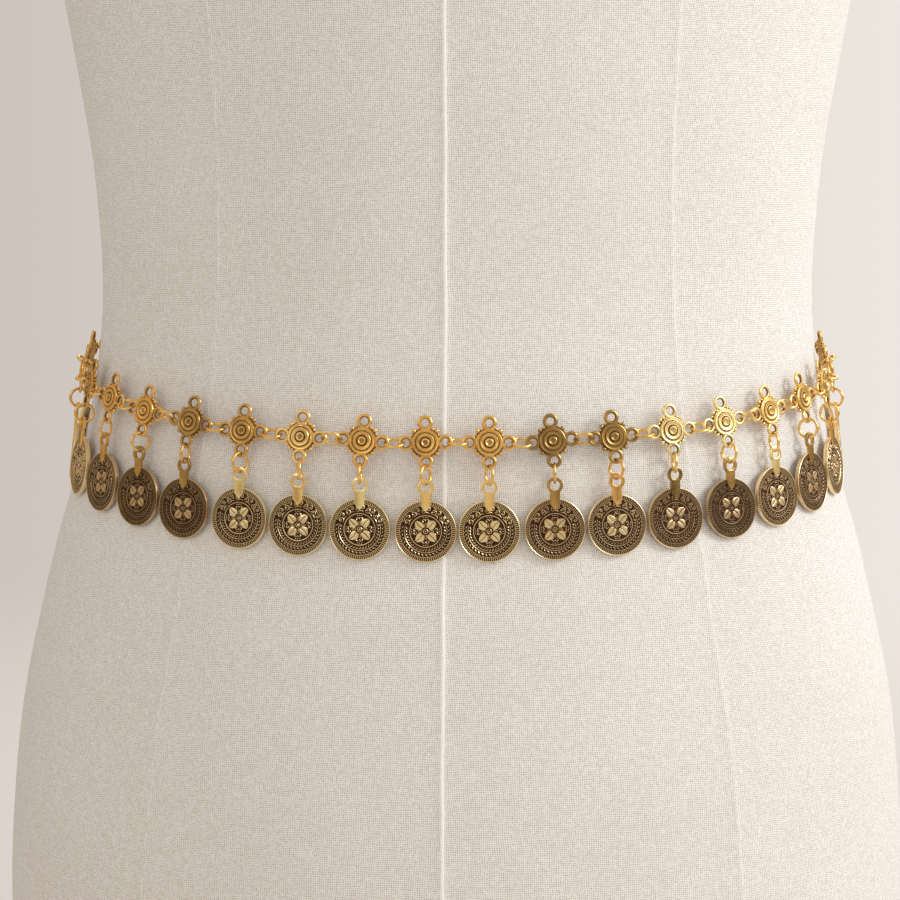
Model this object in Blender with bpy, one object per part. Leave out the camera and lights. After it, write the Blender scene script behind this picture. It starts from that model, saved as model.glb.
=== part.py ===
"""Coin waist chain worn round a limbless dress form.

Metres, +Z up. The form stands on the floor at z = 0 and its front faces -Y. The band of
medallions runs round the form just under the waist, and one coin hangs from each medallion.
"""

import bisect
import math

import bmesh
import bpy
from mathutils import Matrix, Vector

MM = 0.001

# Dress form: a loft of rounded sections, finished plainly at base, arms and neck.
WAIST_HEIGHT = 0.290
FORM_SIDES = 28
FORM_ROW_SPACING = 0.040
FORM_TABLE = (
    # height over waist, half width, half depth, centre y, squareness
    (-0.290, 0.1530, 0.1110, 0.0000, 2.10),
    (-0.268, 0.1570, 0.1150, 0.0000, 2.10),
    (-0.210, 0.1588, 0.1175, 0.0000, 2.10),
    (-0.170, 0.1568, 0.1160, 0.0000, 2.10),
    (-0.139, 0.1531, 0.1130, 0.0000, 2.10),
    (-0.107, 0.1463, 0.1080, -0.0005, 2.10),
    (-0.086, 0.1411, 0.1040, -0.0010, 2.10),
    (-0.060, 0.1336, 0.0990, -0.0020, 2.10),
    (-0.030, 0.1270, 0.0943, -0.0030, 2.10),
    (0.000, 0.1243, 0.0915, -0.0035, 2.10),
    (0.040, 0.1266, 0.0925, -0.0040, 2.10),
    (0.072, 0.1314, 0.0955, -0.0045, 2.10),
    (0.103, 0.1368, 0.0993, -0.0050, 2.10),
    (0.140, 0.1430, 0.1042, -0.0055, 2.10),
    (0.180, 0.1485, 0.1080, -0.0060, 2.15),
    (0.225, 0.1500, 0.1050, -0.0035, 2.30),
    (0.270, 0.1505, 0.0962, 0.0020, 2.45),
    (0.315, 0.1560, 0.0840, 0.0070, 2.60),
    (0.345, 0.1560, 0.0745, 0.0090, 2.60),
    (0.362, 0.1440, 0.0690, 0.0095, 2.50),
    (0.380, 0.1130, 0.0635, 0.0095, 2.35),
    (0.394, 0.0800, 0.0585, 0.0085, 2.15),
    (0.408, 0.0620, 0.0555, 0.0065, 2.05),
    (0.430, 0.0565, 0.0530, 0.0035, 2.00),
    (0.452, 0.0560, 0.0530, 0.0020, 2.00),
)

# Band: where it lies on the form, and how far its pieces stand off the cloth.
BAND_FRONT_HEIGHT = WAIST_HEIGHT - 0.046
BAND_TILT = math.radians(12.3)
BAND_STAND_OFF = 4.5 * MM
BAND_SAMPLES = 1440
UNIT_COUNT = 28
LEAST_PITCH = 17.0 * MM
MOST_PITCH = 24.0 * MM
SEAM_GAP = 0.3 * MM
FORM_GAP = 0.4 * MM
JOIN_DEPTH = 0.12 * MM

# Medallion: a plate with four loops under a low dome.
LOOP_REACH = 6.35 * MM
LOOP_HOLE = 1.35 * MM
LOOP_OUTER = 2.40 * MM
LOOP_THICK = 0.90 * MM
CORNER_REACH = 5.0 * MM
DOME_BASE = 4.10 * MM
DOME_TOP = 1.60 * MM
DOME_RISE = 0.95 * MM
DOME_SIDES = 8

# Jump rings: eight-sided turns of three-sided wire, flats where they meet a loop.
RING_SIDES = 8
RING_INNER = 2.66 * MM
WIRE_WIDTH = 0.80 * MM
WIRE_DEPTH = 0.90 * MM
LINK_TILTS = (30.0, -27.0, 24.0, 29.0, -29.0, 28.0, 18.0)
DROP_TWISTS = (12.0, -22.0, 24.0, 4.0, -26.0, 18.0, -10.0, 26.0, -16.0)
MEDALLION_ROLLS = (1.5, -2.0, 2.5, 0.0, -3.0, 2.0, -1.0, 3.0)

# Coin with its bail and pointed tab, hung from the ring at the top of its bail.
BAIL_HOLE = 1.60 * MM
BAIL_WALL = 1.00 * MM
BAIL_THICK = 1.00 * MM
TAB_HALF_WIDTH = 1.70 * MM
TAB_SHOULDER = 7.0 * MM
TAB_POINT = 8.6 * MM
COIN_RADIUS = 10.0 * MM
COIN_THICK = 1.40 * MM
COIN_SIDES = 16
COIN_BELOW_BAIL = 14.2 * MM
COIN_SET_BACK = 0.55 * MM
LEAST_LEAN = math.radians(0.6)

# Extender chain and clasp at the back.
EXTENDER_LINKS = 10
CLASP_HOLE = 2.40 * MM
CLASP_HOLE_HEIGHT = 1.70 * MM
CLASP_WALL = 1.50 * MM
CLASP_THICK = 1.00 * MM
CLASP_EYE_REACH = 7.60 * MM
CLASP_EYE_HOLE = 1.25 * MM
CLASP_EYE_OUTER = 2.35 * MM
LEVER_START = -1.50 * MM
LEVER_END = 1.70 * MM

COLOURS = {
    # name: base colour, metallic, roughness
    "linen": ((0.70, 0.63, 0.54), 0.0, 0.9),
    "warm_gold": ((0.72, 0.48, 0.16), 1.0, 0.32),
    "aged_gold": ((0.42, 0.30, 0.12), 1.0, 0.45),
}


def clear_scene():
    """Remove whatever objects the file opened with."""
    for item in list(bpy.data.objects):
        bpy.data.objects.remove(item, do_unlink=True)


def new_collection(name):
    group = bpy.data.collections.new(name)
    bpy.context.scene.collection.children.link(group)
    return group


def finish_material(name):
    colour, metallic, roughness = COLOURS[name]
    material = bpy.data.materials.get(name) or bpy.data.materials.new(name)
    material.use_nodes = True
    shader = material.node_tree.nodes["Principled BSDF"]
    shader.inputs["Base Color"].default_value = (*colour, 1.0)
    shader.inputs["Metallic"].default_value = metallic
    shader.inputs["Roughness"].default_value = roughness
    return material


def add_object(name, mesh, group, place=None, material=None):
    item = bpy.data.objects.new(name, mesh)
    group.objects.link(item)
    if place is not None:
        item.matrix_world = place
    if material:
        mesh.materials.clear()
        mesh.materials.append(finish_material(material))
    return item


def add_tool(name, mesh, group, place):
    """A shape that another one is joined to: kept as a wire guide, never a part of its own."""
    tool = add_object(name, mesh, group, place)
    tool.hide_render = True
    tool.display_type = "WIRE"
    return tool


def join_shape(item, tool):
    joined = item.modifiers.new(tool.name, "BOOLEAN")
    joined.operation = "UNION"
    joined.solver = "EXACT"
    joined.object = tool


def axes_matrix(x_axis, y_axis, z_axis, origin):
    turn = Matrix((x_axis, y_axis, z_axis)).transposed()
    return Matrix.Translation(origin) @ turn.to_4x4()


# The form's surface


def form_row(height):
    """Half width, half depth, centre y and squareness of the form at a height over the floor."""
    rise = height - WAIST_HEIGHT
    heights = [row[0] for row in FORM_TABLE]
    low = min(max(bisect.bisect_right(heights, rise) - 1, 0), len(FORM_TABLE) - 2)
    before = FORM_TABLE[max(low - 1, 0)]
    start = FORM_TABLE[low]
    end = FORM_TABLE[low + 1]
    after = FORM_TABLE[min(low + 2, len(FORM_TABLE) - 1)]
    span = end[0] - start[0]
    part = min(max((rise - start[0]) / span, 0.0), 1.0)
    row = []
    for column in range(1, 5):
        rate_in = (end[column] - before[column]) / (end[0] - before[0]) * span
        rate_out = (after[column] - start[column]) / (after[0] - start[0]) * span
        value = (2 * part**3 - 3 * part**2 + 1) * start[column]
        value += (part**3 - 2 * part**2 + part) * rate_in
        value += (3 * part**2 - 2 * part**3) * end[column]
        value += (part**3 - part**2) * rate_out
        row.append(value)
    return row


def form_point(angle, height):
    """Point of the form's surface: angle 0 is the centre front, and it grows towards +X."""
    half_width, half_depth, centre_y, square = form_row(height)
    across = abs(math.sin(angle) / half_width) ** square
    through = abs(math.cos(angle) / half_depth) ** square
    reach = (across + through) ** (-1.0 / square)
    return Vector((reach * math.sin(angle), centre_y - reach * math.cos(angle), height))


def form_normal(angle, height):
    turn_step = 0.004
    rise_step = 1.0 * MM
    around = form_point(angle + turn_step, height) - form_point(angle - turn_step, height)
    upward = form_point(angle, height + rise_step) - form_point(angle, height - rise_step)
    return around.cross(upward).normalized()


def form_clearance(point):
    """Distance from a point to the form's surface, negative inside it."""
    centre_y = form_row(point.z)[2]
    angle = math.atan2(point.x, centre_y - point.y)
    return (point - form_point(angle, point.z)).dot(form_normal(angle, point.z))


# The band's path and the frames of its units


def band_point(angle):
    """Centre line of the band: the form cut by a tilted plane, moved out to stand clear."""
    front_y = form_point(0.0, BAND_FRONT_HEIGHT).y
    height = BAND_FRONT_HEIGHT
    for _ in range(5):
        surface = form_point(angle, height)
        height = BAND_FRONT_HEIGHT + (surface.y - front_y) * math.tan(BAND_TILT)
    return surface + BAND_STAND_OFF * form_normal(angle, height)


def measure_band():
    """Angles round the band and the path length at each, counted from the centre front."""
    angles = [2 * math.pi * step / BAND_SAMPLES for step in range(BAND_SAMPLES + 1)]
    points = [band_point(angle) for angle in angles]
    lengths = [0.0]
    for start, end in zip(points, points[1:]):
        lengths.append(lengths[-1] + (end - start).length)
    return angles, lengths


BAND_ANGLES, BAND_LENGTHS = measure_band()
BAND_GIRTH = BAND_LENGTHS[-1]


def band_angle(distance):
    distance %= BAND_GIRTH
    step = min(bisect.bisect_right(BAND_LENGTHS, distance), BAND_SAMPLES) - 1
    span = BAND_LENGTHS[step + 1] - BAND_LENGTHS[step]
    part = (distance - BAND_LENGTHS[step]) / span
    return BAND_ANGLES[step] + part * (BAND_ANGLES[step + 1] - BAND_ANGLES[step])


def band_frame(distance, roll=0.0):
    """Frame on the band: x along it, y up, z out from the form."""
    angle = band_angle(distance)
    step = 0.01
    centre = band_point(angle)
    along = (band_point(angle + step) - band_point(angle - step)).normalized()
    outward = form_normal(angle, centre.z - 10.0 * MM)
    outward = (outward - along * outward.dot(along)).normalized()
    upward = outward.cross(along)
    return axes_matrix(along, upward, outward, centre) @ Matrix.Rotation(roll, 4, "Z")


def loop_point(frame, side):
    """Centre of a side loop: side is +1 towards the next unit and -1 towards the last one."""
    return frame @ Vector((side * LOOP_REACH, 0.0, 0.0))


OWN_LOOP_TO_RING = LOOP_HOLE + JOIN_DEPTH + RING_INNER
NEXT_LOOP_TO_RING = LOOP_HOLE - SEAM_GAP + RING_INNER
LOOP_SPACING = OWN_LOOP_TO_RING + NEXT_LOOP_TO_RING


def unit_roll(index):
    return math.radians(MEDALLION_ROLLS[index % len(MEDALLION_ROLLS)])


def next_distance(index, distance, step):
    """Path length of the unit after (step +1) or before (step -1) the one at a path length."""
    start = loop_point(band_frame(distance, unit_roll(index)), step)
    low = distance + step * LEAST_PITCH
    high = distance + step * MOST_PITCH
    for _ in range(30):
        middle = (low + high) / 2
        end = loop_point(band_frame(middle, unit_roll(index + step)), -step)
        if (end - start).length < LOOP_SPACING:
            low = middle
        else:
            high = middle
    return (low + high) / 2


def unit_distances():
    """Path lengths of all medallions, the middle two either side of the centre front."""
    middle = UNIT_COUNT // 2
    half_pitch = LOOP_REACH + LOOP_SPACING / 2
    places = {middle: half_pitch}
    for index in range(middle, UNIT_COUNT - 1):
        places[index + 1] = next_distance(index, places[index], 1)
    for index in range(middle, 0, -1):
        places[index - 1] = next_distance(index, places[index], -1)
    return [places[index] for index in range(UNIT_COUNT)]


def hang_axes(outward, lean):
    """Sideways, upward and outward axes of a piece that hangs with an outward lean."""
    level = Vector((outward.x, outward.y, 0.0)).normalized()
    sideways = Vector((0.0, 0.0, 1.0)).cross(level)
    upward = Vector((0.0, 0.0, math.cos(lean))) - level * math.sin(lean)
    return sideways, upward, sideways.cross(upward)


def drop_ring_place(frame, twist):
    """Frame of the ring that hangs from a medallion's lower loop: x down, z along its axis."""
    outward = Vector(frame.col[2][:3])
    lean = math.asin(max(outward.z, 0.0))
    sideways, upward, facing = hang_axes(outward, lean)
    axis = sideways * math.cos(twist) - facing * math.sin(twist)
    centre = frame @ Vector((0.0, -LOOP_REACH, 0.0)) - upward * OWN_LOOP_TO_RING
    return axes_matrix(-upward, axis.cross(-upward), axis, centre)


def link_ring_place(frame, next_loop, tilt):
    """Frame of the ring between two side loops: x towards the next loop, z along its axis."""
    start = loop_point(frame, 1)
    along = (next_loop - start).normalized()
    outward = Vector(frame.col[2][:3])
    outward = (outward - along * outward.dot(along)).normalized()
    upward = outward.cross(along)
    axis = upward * math.cos(tilt) + outward * math.sin(tilt)
    return axes_matrix(along, axis.cross(along), axis, start + along * OWN_LOOP_TO_RING)


def coin_place(drop_ring, outward):
    """Frame of a coin with its origin on the hinge line: leaning just clear of the form."""
    bail_drop = RING_INNER - SEAM_GAP - BAIL_WALL / 2
    hinge = drop_ring @ Vector((bail_drop, 0.0, 0.0))
    middle_drop = BAIL_WALL / 2 + BAIL_HOLE + COIN_BELOW_BAIL
    back = -COIN_SET_BACK - COIN_THICK / 2
    lean = LEAST_LEAN
    while True:
        place = axes_matrix(*hang_axes(outward, lean), hinge)
        rim = []
        for step in range(24):
            turn = 2 * math.pi * step / 24
            across = COIN_RADIUS * math.sin(turn)
            down = middle_drop + COIN_RADIUS * math.cos(turn)
            rim.append(place @ Vector((across, -down, back)))
        if min(form_clearance(point) for point in rim) >= FORM_GAP:
            return place
        lean += math.radians(0.1)


def lay_out_units():
    """Frames of every unit's medallion, link ring, drop ring and coin."""
    frames = [band_frame(at, unit_roll(i)) for i, at in enumerate(unit_distances())]
    units = []
    for index, frame in enumerate(frames):
        if index + 1 < UNIT_COUNT:
            next_loop = loop_point(frames[index + 1], -1)
            tilt = math.radians(LINK_TILTS[index % len(LINK_TILTS)])
        else:
            next_loop = band_frame(unit_distances()[-1] + LOOP_REACH + LOOP_SPACING).translation
            tilt = 0.0
        twist = math.radians(DROP_TWISTS[index % len(DROP_TWISTS)])
        drop_ring = drop_ring_place(frame, twist)
        units.append({
            "medallion": frame,
            "link_ring": link_ring_place(frame, next_loop, tilt),
            "drop_ring": drop_ring,
            "coin": coin_place(drop_ring, Vector(frame.col[2][:3])),
        })
    return units


# Shapes


def polygon(sides, flat_reach, centre=(0.0, 0.0), start=0.0):
    """Corners of a regular outline whose flats lie at a given distance from its centre."""
    corner = flat_reach / math.cos(math.pi / sides)
    turns = [start + math.pi * (2 * step + 1) / sides for step in range(sides)]
    return [(centre[0] + corner * math.cos(t), centre[1] + corner * math.sin(t)) for t in turns]


def hole_outline(reach, centre, facing):
    """Six-cornered hole with a wide flat towards the way it faces, where a ring bears on it."""
    corners = ((1.0, -0.75), (1.0, 0.75), (0.0, 1.1), (-1.0, 0.75), (-1.0, -0.75), (0.0, -1.1))
    outline = []
    for ahead, aside in corners:
        x = ahead * math.cos(facing) - aside * math.sin(facing)
        y = ahead * math.sin(facing) + aside * math.cos(facing)
        outline.append((centre[0] + reach * x, centre[1] + reach * y))
    return outline


def plate_mesh(name, outlines, thickness):
    """Flat plate from an outline and its holes, centred on its own thickness."""
    curve = bpy.data.curves.new(name, "CURVE")
    curve.dimensions = "2D"
    curve.fill_mode = "BOTH"
    curve.extrude = thickness / 2
    for outline in outlines:
        spline = curve.splines.new("POLY")
        spline.points.add(len(outline) - 1)
        for point, (x, y) in zip(spline.points, outline):
            point.co = (x, y, 0.0, 1.0)
        spline.use_cyclic_u = True
    holder = bpy.data.objects.new(name, curve)
    bpy.context.scene.collection.objects.link(holder)
    bpy.context.view_layer.update()
    evaluated = holder.evaluated_get(bpy.context.evaluated_depsgraph_get())
    mesh = bpy.data.meshes.new_from_object(evaluated)
    bpy.data.objects.remove(holder, do_unlink=True)
    bpy.data.curves.remove(curve)
    weld(mesh)
    return mesh


def weld(mesh):
    """Merge doubled points and turn all faces outwards."""
    shape = bmesh.new()
    shape.from_mesh(mesh)
    bmesh.ops.remove_doubles(shape, verts=shape.verts, dist=0.002 * MM)
    bmesh.ops.recalc_face_normals(shape, faces=shape.faces)
    shape.to_mesh(mesh)
    shape.free()


def ring_mesh(name, stretch=0.0):
    """Ring of flat-backed wire turned about z, its halves moved apart along x by the stretch."""
    mesh = bpy.data.meshes.new(name)
    shape = bmesh.new()
    corner = 1.0 / math.cos(math.pi / RING_SIDES)
    half = WIRE_WIDTH / 2
    inner = RING_INNER * corner
    section = [(inner, -half), (inner + WIRE_DEPTH, 0.0), (inner, half)]
    turn = Matrix.Rotation(math.pi / RING_SIDES, 3, "Z")
    corners = [shape.verts.new(turn @ Vector((reach, 0.0, z))) for reach, z in section]
    edges = [shape.edges.new((corners[k - 1], corners[k])) for k in range(3)]
    bmesh.ops.spin(
        shape, geom=corners + edges, cent=(0, 0, 0), axis=(0, 0, 1),
        angle=2 * math.pi, steps=RING_SIDES, use_merge=True,
    )
    bmesh.ops.remove_doubles(shape, verts=shape.verts, dist=0.002 * MM)
    bmesh.ops.recalc_face_normals(shape, faces=shape.faces)
    for corner_point in shape.verts:
        corner_point.co.x += math.copysign(stretch, corner_point.co.x)
    shape.to_mesh(mesh)
    shape.free()
    return mesh


def medallion_plate():
    """Plate with a holed loop on each side and a blunt corner between the loops."""
    outline = []
    holes = []
    for quarter in range(4):
        facing = quarter * math.pi / 2
        middle = (LOOP_REACH * math.cos(facing), LOOP_REACH * math.sin(facing))
        lobe = polygon(8, LOOP_OUTER, middle, facing)
        outline += [lobe[6], lobe[7], lobe[0], lobe[1]]
        corner = facing + math.pi / 4
        outline.append((CORNER_REACH * math.cos(corner), CORNER_REACH * math.sin(corner)))
        holes.append(hole_outline(LOOP_HOLE, middle, facing))
    return plate_mesh("medallion", [outline, *holes], LOOP_THICK)


def dome_mesh():
    """Low cone that swells the medallion's face."""
    mesh = bpy.data.meshes.new("dome")
    shape = bmesh.new()
    sunk = LOOP_THICK / 2
    bmesh.ops.create_cone(
        shape, cap_ends=True, segments=DOME_SIDES, radius1=DOME_BASE, radius2=DOME_TOP,
        depth=DOME_RISE + sunk,
    )
    bmesh.ops.translate(shape, verts=shape.verts, vec=(0, 0, (DOME_RISE + sunk) / 2))
    shape.to_mesh(mesh)
    shape.free()
    return mesh


def bail_mesh():
    """Loop and pointed tab that carry a coin, hung from the middle of the loop's top."""
    centre = (0.0, -BAIL_WALL / 2 - BAIL_HOLE)
    rim = polygon(8, BAIL_HOLE + BAIL_WALL, centre, math.pi / 2)
    shoulder = centre[1] - TAB_SHOULDER + BAIL_HOLE
    point = centre[1] - TAB_POINT + BAIL_HOLE
    neck = centre[1] - BAIL_HOLE - BAIL_WALL
    outline = [rim[6], rim[7], rim[0], rim[1], rim[2]]
    outline += [(-TAB_HALF_WIDTH, neck), (-TAB_HALF_WIDTH, shoulder), (0.0, point)]
    outline += [(TAB_HALF_WIDTH, shoulder), (TAB_HALF_WIDTH, neck), rim[5]]
    hole = hole_outline(BAIL_HOLE, centre, math.pi / 2)
    return plate_mesh("bail", [outline, hole], BAIL_THICK)


def coin_disc_mesh():
    mesh = bpy.data.meshes.new("coin_disc")
    shape = bmesh.new()
    bmesh.ops.create_cone(
        shape, cap_ends=True, segments=COIN_SIDES, radius1=COIN_RADIUS, radius2=COIN_RADIUS,
        depth=COIN_THICK,
    )
    below = BAIL_WALL / 2 + BAIL_HOLE + COIN_BELOW_BAIL
    bmesh.ops.translate(shape, verts=shape.verts, vec=(0, -below, -COIN_SET_BACK))
    shape.to_mesh(mesh)
    shape.free()
    return mesh


def build_form(group):
    """Lofted torso: a ring of points for each row of the table and one midway in long steps."""
    heights = []
    rows = [row[0] for row in FORM_TABLE]
    for low, high in zip(rows, rows[1:]):
        heights.append(low)
        if high - low > FORM_ROW_SPACING:
            heights.append((low + high) / 2)
    heights.append(rows[-1])
    shape = bmesh.new()
    rings = []
    for rise in heights:
        ring = []
        for side in range(FORM_SIDES):
            angle = 2 * math.pi * (side + 0.5) / FORM_SIDES
            ring.append(shape.verts.new(form_point(angle, WAIST_HEIGHT + rise)))
        rings.append(ring)
    for below, above in zip(rings, rings[1:]):
        for side in range(FORM_SIDES):
            after = (side + 1) % FORM_SIDES
            shape.faces.new((below[side], below[after], above[after], above[side]))
    shape.faces.new(list(reversed(rings[0])))
    shape.faces.new(rings[-1])
    bmesh.ops.recalc_face_normals(shape, faces=shape.faces)
    mesh = bpy.data.meshes.new("dress_form")
    shape.to_mesh(mesh)
    shape.free()
    mesh.shade_smooth()
    mesh.set_sharp_from_angle(angle=math.radians(50))
    add_object("dress_form", mesh, group, Matrix.Identity(4), "linen")


def build_units(units, group, tools):
    plate = medallion_plate()
    dome = dome_mesh()
    ring = ring_mesh("jump_ring")
    bail = bail_mesh()
    disc = coin_disc_mesh()
    for index, unit in enumerate(units):
        label = f"{index + 1:02d}"
        frame = unit["medallion"]
        medallion = add_object(f"medallion_{label}", plate, group, frame, "warm_gold")
        join_shape(medallion, add_tool(f"dome_{label}", dome, tools, frame))
        for kind in ("link_ring", "drop_ring"):
            tool = add_tool(f"{kind}_{label}", ring, tools, unit[kind])
            join_shape(medallion, tool)
        coin = add_object(f"coin_{label}", disc, group, unit["coin"], "aged_gold")
        join_shape(coin, add_tool(f"bail_{label}", bail, tools, unit["coin"]))


def back_layout():
    """Path lengths of the extender links and of the clasp, and how far the links stretch."""
    start = unit_distances()[-1] + LOOP_REACH + OWN_LOOP_TO_RING
    end = BAND_GIRTH + unit_distances()[0] - LOOP_REACH - NEXT_LOOP_TO_RING
    eye_to_ring = CLASP_EYE_HOLE + JOIN_DEPTH + RING_INNER
    claw = end - eye_to_ring - CLASP_EYE_REACH
    free = claw - start - (RING_INNER - SEAM_GAP) - (CLASP_HOLE - SEAM_GAP)
    link_inner = (free - JOIN_DEPTH * (EXTENDER_LINKS - 1)) / (2 * EXTENDER_LINKS)
    first = start + RING_INNER - SEAM_GAP + link_inner
    pitch = 2 * link_inner + JOIN_DEPTH
    links = [first + pitch * number for number in range(EXTENDER_LINKS)]
    return links, claw, link_inner - RING_INNER


def build_extender(links, stretch, group, tools):
    """Chain of long links, every second one lying flat, joined where each hooks the next."""
    ring = ring_mesh("extender_link", stretch)
    lying = Matrix.Rotation(math.pi / 2, 4, "X")
    chain = add_object("extender_chain", ring, group, band_frame(links[0]), "warm_gold")
    for number, at in enumerate(links[1:], start=1):
        place = band_frame(at)
        if number % 2:
            place = place @ lying
        join_shape(chain, add_tool(f"extender_link_{number + 1:02d}", ring, tools, place))


def clasp_outline():
    """Hook that is open at the top, with an eye beyond its closed end."""
    reach = CLASP_HOLE + CLASP_WALL
    rise = CLASP_HOLE_HEIGHT + CLASP_WALL
    bevel = 1.3 * MM
    eye = polygon(8, CLASP_EYE_OUTER, (CLASP_EYE_REACH, 0.0))
    outside = [(LEVER_START, rise), (-reach + bevel, rise), (-reach, rise - bevel)]
    outside += [(-reach, bevel - rise), (-reach + bevel, -rise), (reach - bevel, -rise)]
    outside += [eye[5], eye[6], eye[7], eye[0], eye[1], eye[2]]
    outside += [(reach - bevel, rise), (LEVER_END, rise)]
    nook = 0.9 * MM
    inside = [(LEVER_END, CLASP_HOLE_HEIGHT), (CLASP_HOLE, CLASP_HOLE_HEIGHT - nook)]
    inside += [(CLASP_HOLE, nook - CLASP_HOLE_HEIGHT), (CLASP_HOLE - nook, -CLASP_HOLE_HEIGHT)]
    inside += [(nook - CLASP_HOLE, -CLASP_HOLE_HEIGHT), (-CLASP_HOLE, nook - CLASP_HOLE_HEIGHT)]
    inside += [(-CLASP_HOLE, CLASP_HOLE_HEIGHT - nook), (LEVER_START, CLASP_HOLE_HEIGHT)]
    return outside + inside


def lever_outline():
    """Bar that shuts the hook, with a thumb nub on its outer side."""
    start = LEVER_START + SEAM_GAP
    end = LEVER_END - SEAM_GAP
    rise = CLASP_HOLE_HEIGHT + CLASP_WALL
    nub = 0.9 * MM
    foot = CLASP_HOLE_HEIGHT + 0.1 * MM
    outline = [(start, foot), (end, foot), (end, rise + nub), (end - nub, rise + nub)]
    return outline + [(end - nub - 0.4 * MM, rise), (start, rise)]


def clasp_ring_place(clasp_frame, end_loop):
    """Frame of the ring between the clasp's eye and the band's end loop."""
    eye = clasp_frame @ Vector((CLASP_EYE_REACH, 0.0, 0.0))
    along = (end_loop - eye).normalized()
    outward = Vector(clasp_frame.col[2][:3])
    outward = (outward - along * outward.dot(along)).normalized()
    axis = outward.cross(along)
    centre = end_loop - along * NEXT_LOOP_TO_RING
    return axes_matrix(along, axis.cross(along), axis, centre)


def build_clasp(claw, end_loop, group, tools):
    eye_hole = hole_outline(CLASP_EYE_HOLE, (CLASP_EYE_REACH, 0.0), 0.0)
    body = plate_mesh("clasp_body", [clasp_outline(), eye_hole], CLASP_THICK)
    frame = band_frame(claw)
    clasp = add_object("clasp_body", body, group, frame, "warm_gold")
    ring_place = clasp_ring_place(frame, end_loop)
    join_shape(clasp, add_tool("clasp_ring", ring_mesh("clasp_ring"), tools, ring_place))
    lever = plate_mesh("clasp_lever", [lever_outline()], CLASP_THICK)
    add_object("clasp_lever", lever, group, frame, "warm_gold")


def build_all():
    clear_scene()
    group = new_collection("coin_waist_chain")
    tools = new_collection("joined_shapes")
    units = lay_out_units()
    build_form(group)
    build_units(units, group, tools)
    links, claw, stretch = back_layout()
    build_extender(links, stretch, group, tools)
    build_clasp(claw, loop_point(units[0]["medallion"], -1), group, tools)
    bpy.context.view_layer.update()


build_all()
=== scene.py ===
import bisect
import math

import bpy
import numpy as np
from mathutils import Matrix, Vector


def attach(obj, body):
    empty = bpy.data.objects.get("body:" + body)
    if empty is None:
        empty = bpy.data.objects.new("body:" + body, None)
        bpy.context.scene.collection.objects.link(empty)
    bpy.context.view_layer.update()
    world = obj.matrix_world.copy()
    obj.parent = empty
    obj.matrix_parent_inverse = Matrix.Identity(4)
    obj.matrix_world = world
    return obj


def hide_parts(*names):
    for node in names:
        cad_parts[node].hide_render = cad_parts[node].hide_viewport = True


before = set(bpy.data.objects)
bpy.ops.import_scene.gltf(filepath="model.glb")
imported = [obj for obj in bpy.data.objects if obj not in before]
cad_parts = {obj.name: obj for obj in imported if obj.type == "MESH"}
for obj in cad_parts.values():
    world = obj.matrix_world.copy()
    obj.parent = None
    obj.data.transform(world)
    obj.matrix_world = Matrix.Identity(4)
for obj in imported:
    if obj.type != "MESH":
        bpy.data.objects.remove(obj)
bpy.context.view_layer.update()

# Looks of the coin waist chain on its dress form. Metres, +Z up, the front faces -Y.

MM = 0.001
TURN = 2 * math.pi

# Dress form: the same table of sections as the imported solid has.
WAIST_HEIGHT = 0.290
FORM_HEIGHT = 0.742
FORM_TABLE = (
    # height over waist, half width, half depth, centre y, squareness
    (-0.290, 0.1530, 0.1110, 0.0000, 2.10),
    (-0.268, 0.1570, 0.1150, 0.0000, 2.10),
    (-0.210, 0.1588, 0.1175, 0.0000, 2.10),
    (-0.170, 0.1568, 0.1160, 0.0000, 2.10),
    (-0.139, 0.1531, 0.1130, 0.0000, 2.10),
    (-0.107, 0.1463, 0.1080, -0.0005, 2.10),
    (-0.086, 0.1411, 0.1040, -0.0010, 2.10),
    (-0.060, 0.1336, 0.0990, -0.0020, 2.10),
    (-0.030, 0.1270, 0.0943, -0.0030, 2.10),
    (0.000, 0.1243, 0.0915, -0.0035, 2.10),
    (0.040, 0.1266, 0.0925, -0.0040, 2.10),
    (0.072, 0.1314, 0.0955, -0.0045, 2.10),
    (0.103, 0.1368, 0.0993, -0.0050, 2.10),
    (0.140, 0.1430, 0.1042, -0.0055, 2.10),
    (0.180, 0.1485, 0.1080, -0.0060, 2.15),
    (0.225, 0.1500, 0.1050, -0.0035, 2.30),
    (0.270, 0.1505, 0.0962, 0.0020, 2.45),
    (0.315, 0.1560, 0.0840, 0.0070, 2.60),
    (0.345, 0.1560, 0.0745, 0.0090, 2.60),
    (0.362, 0.1440, 0.0690, 0.0095, 2.50),
    (0.380, 0.1130, 0.0635, 0.0095, 2.35),
    (0.394, 0.0800, 0.0585, 0.0085, 2.15),
    (0.408, 0.0620, 0.0555, 0.0065, 2.05),
    (0.430, 0.0565, 0.0530, 0.0035, 2.00),
    (0.452, 0.0560, 0.0530, 0.0020, 2.00),
)

# Cover: eight panels sewn with raised seams. The cover sits turned a little on the form.
COVER_TURN = math.radians(-2.4)
PRINCESS_LINE = (
    # height over waist, degrees from the centre front
    (-0.290, 47.0), (-0.200, 46.5), (-0.107, 45.1), (0.000, 45.2), (0.105, 42.4),
    (0.180, 40.0), (0.215, 40.2), (0.242, 41.1), (0.264, 42.8), (0.284, 45.2), (0.302, 48.3),
    (0.318, 52.0), (0.332, 56.2), (0.345, 61.0), (0.358, 67.0), (0.375, 77.0), (0.395, 84.0),
    (0.452, 84.0),
)
SEAM_SECTION = (
    # distance from the middle of the seam, height of the ridge, in mm
    (-5.6, 0.00), (-4.2, 0.03), (-2.9, 0.10), (-1.9, 0.20), (-1.0, 0.36), (-0.25, 0.55),
    (0.12, 0.50), (0.42, 0.22), (0.80, 0.02), (2.0, 0.00),
)
SEAM_MIDDLE = 6
SEAM_COUNT = 8
PRINCESS_SHARE = 0.75
PRINCESS_END = 0.385
PANEL_COLUMNS = 18
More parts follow.
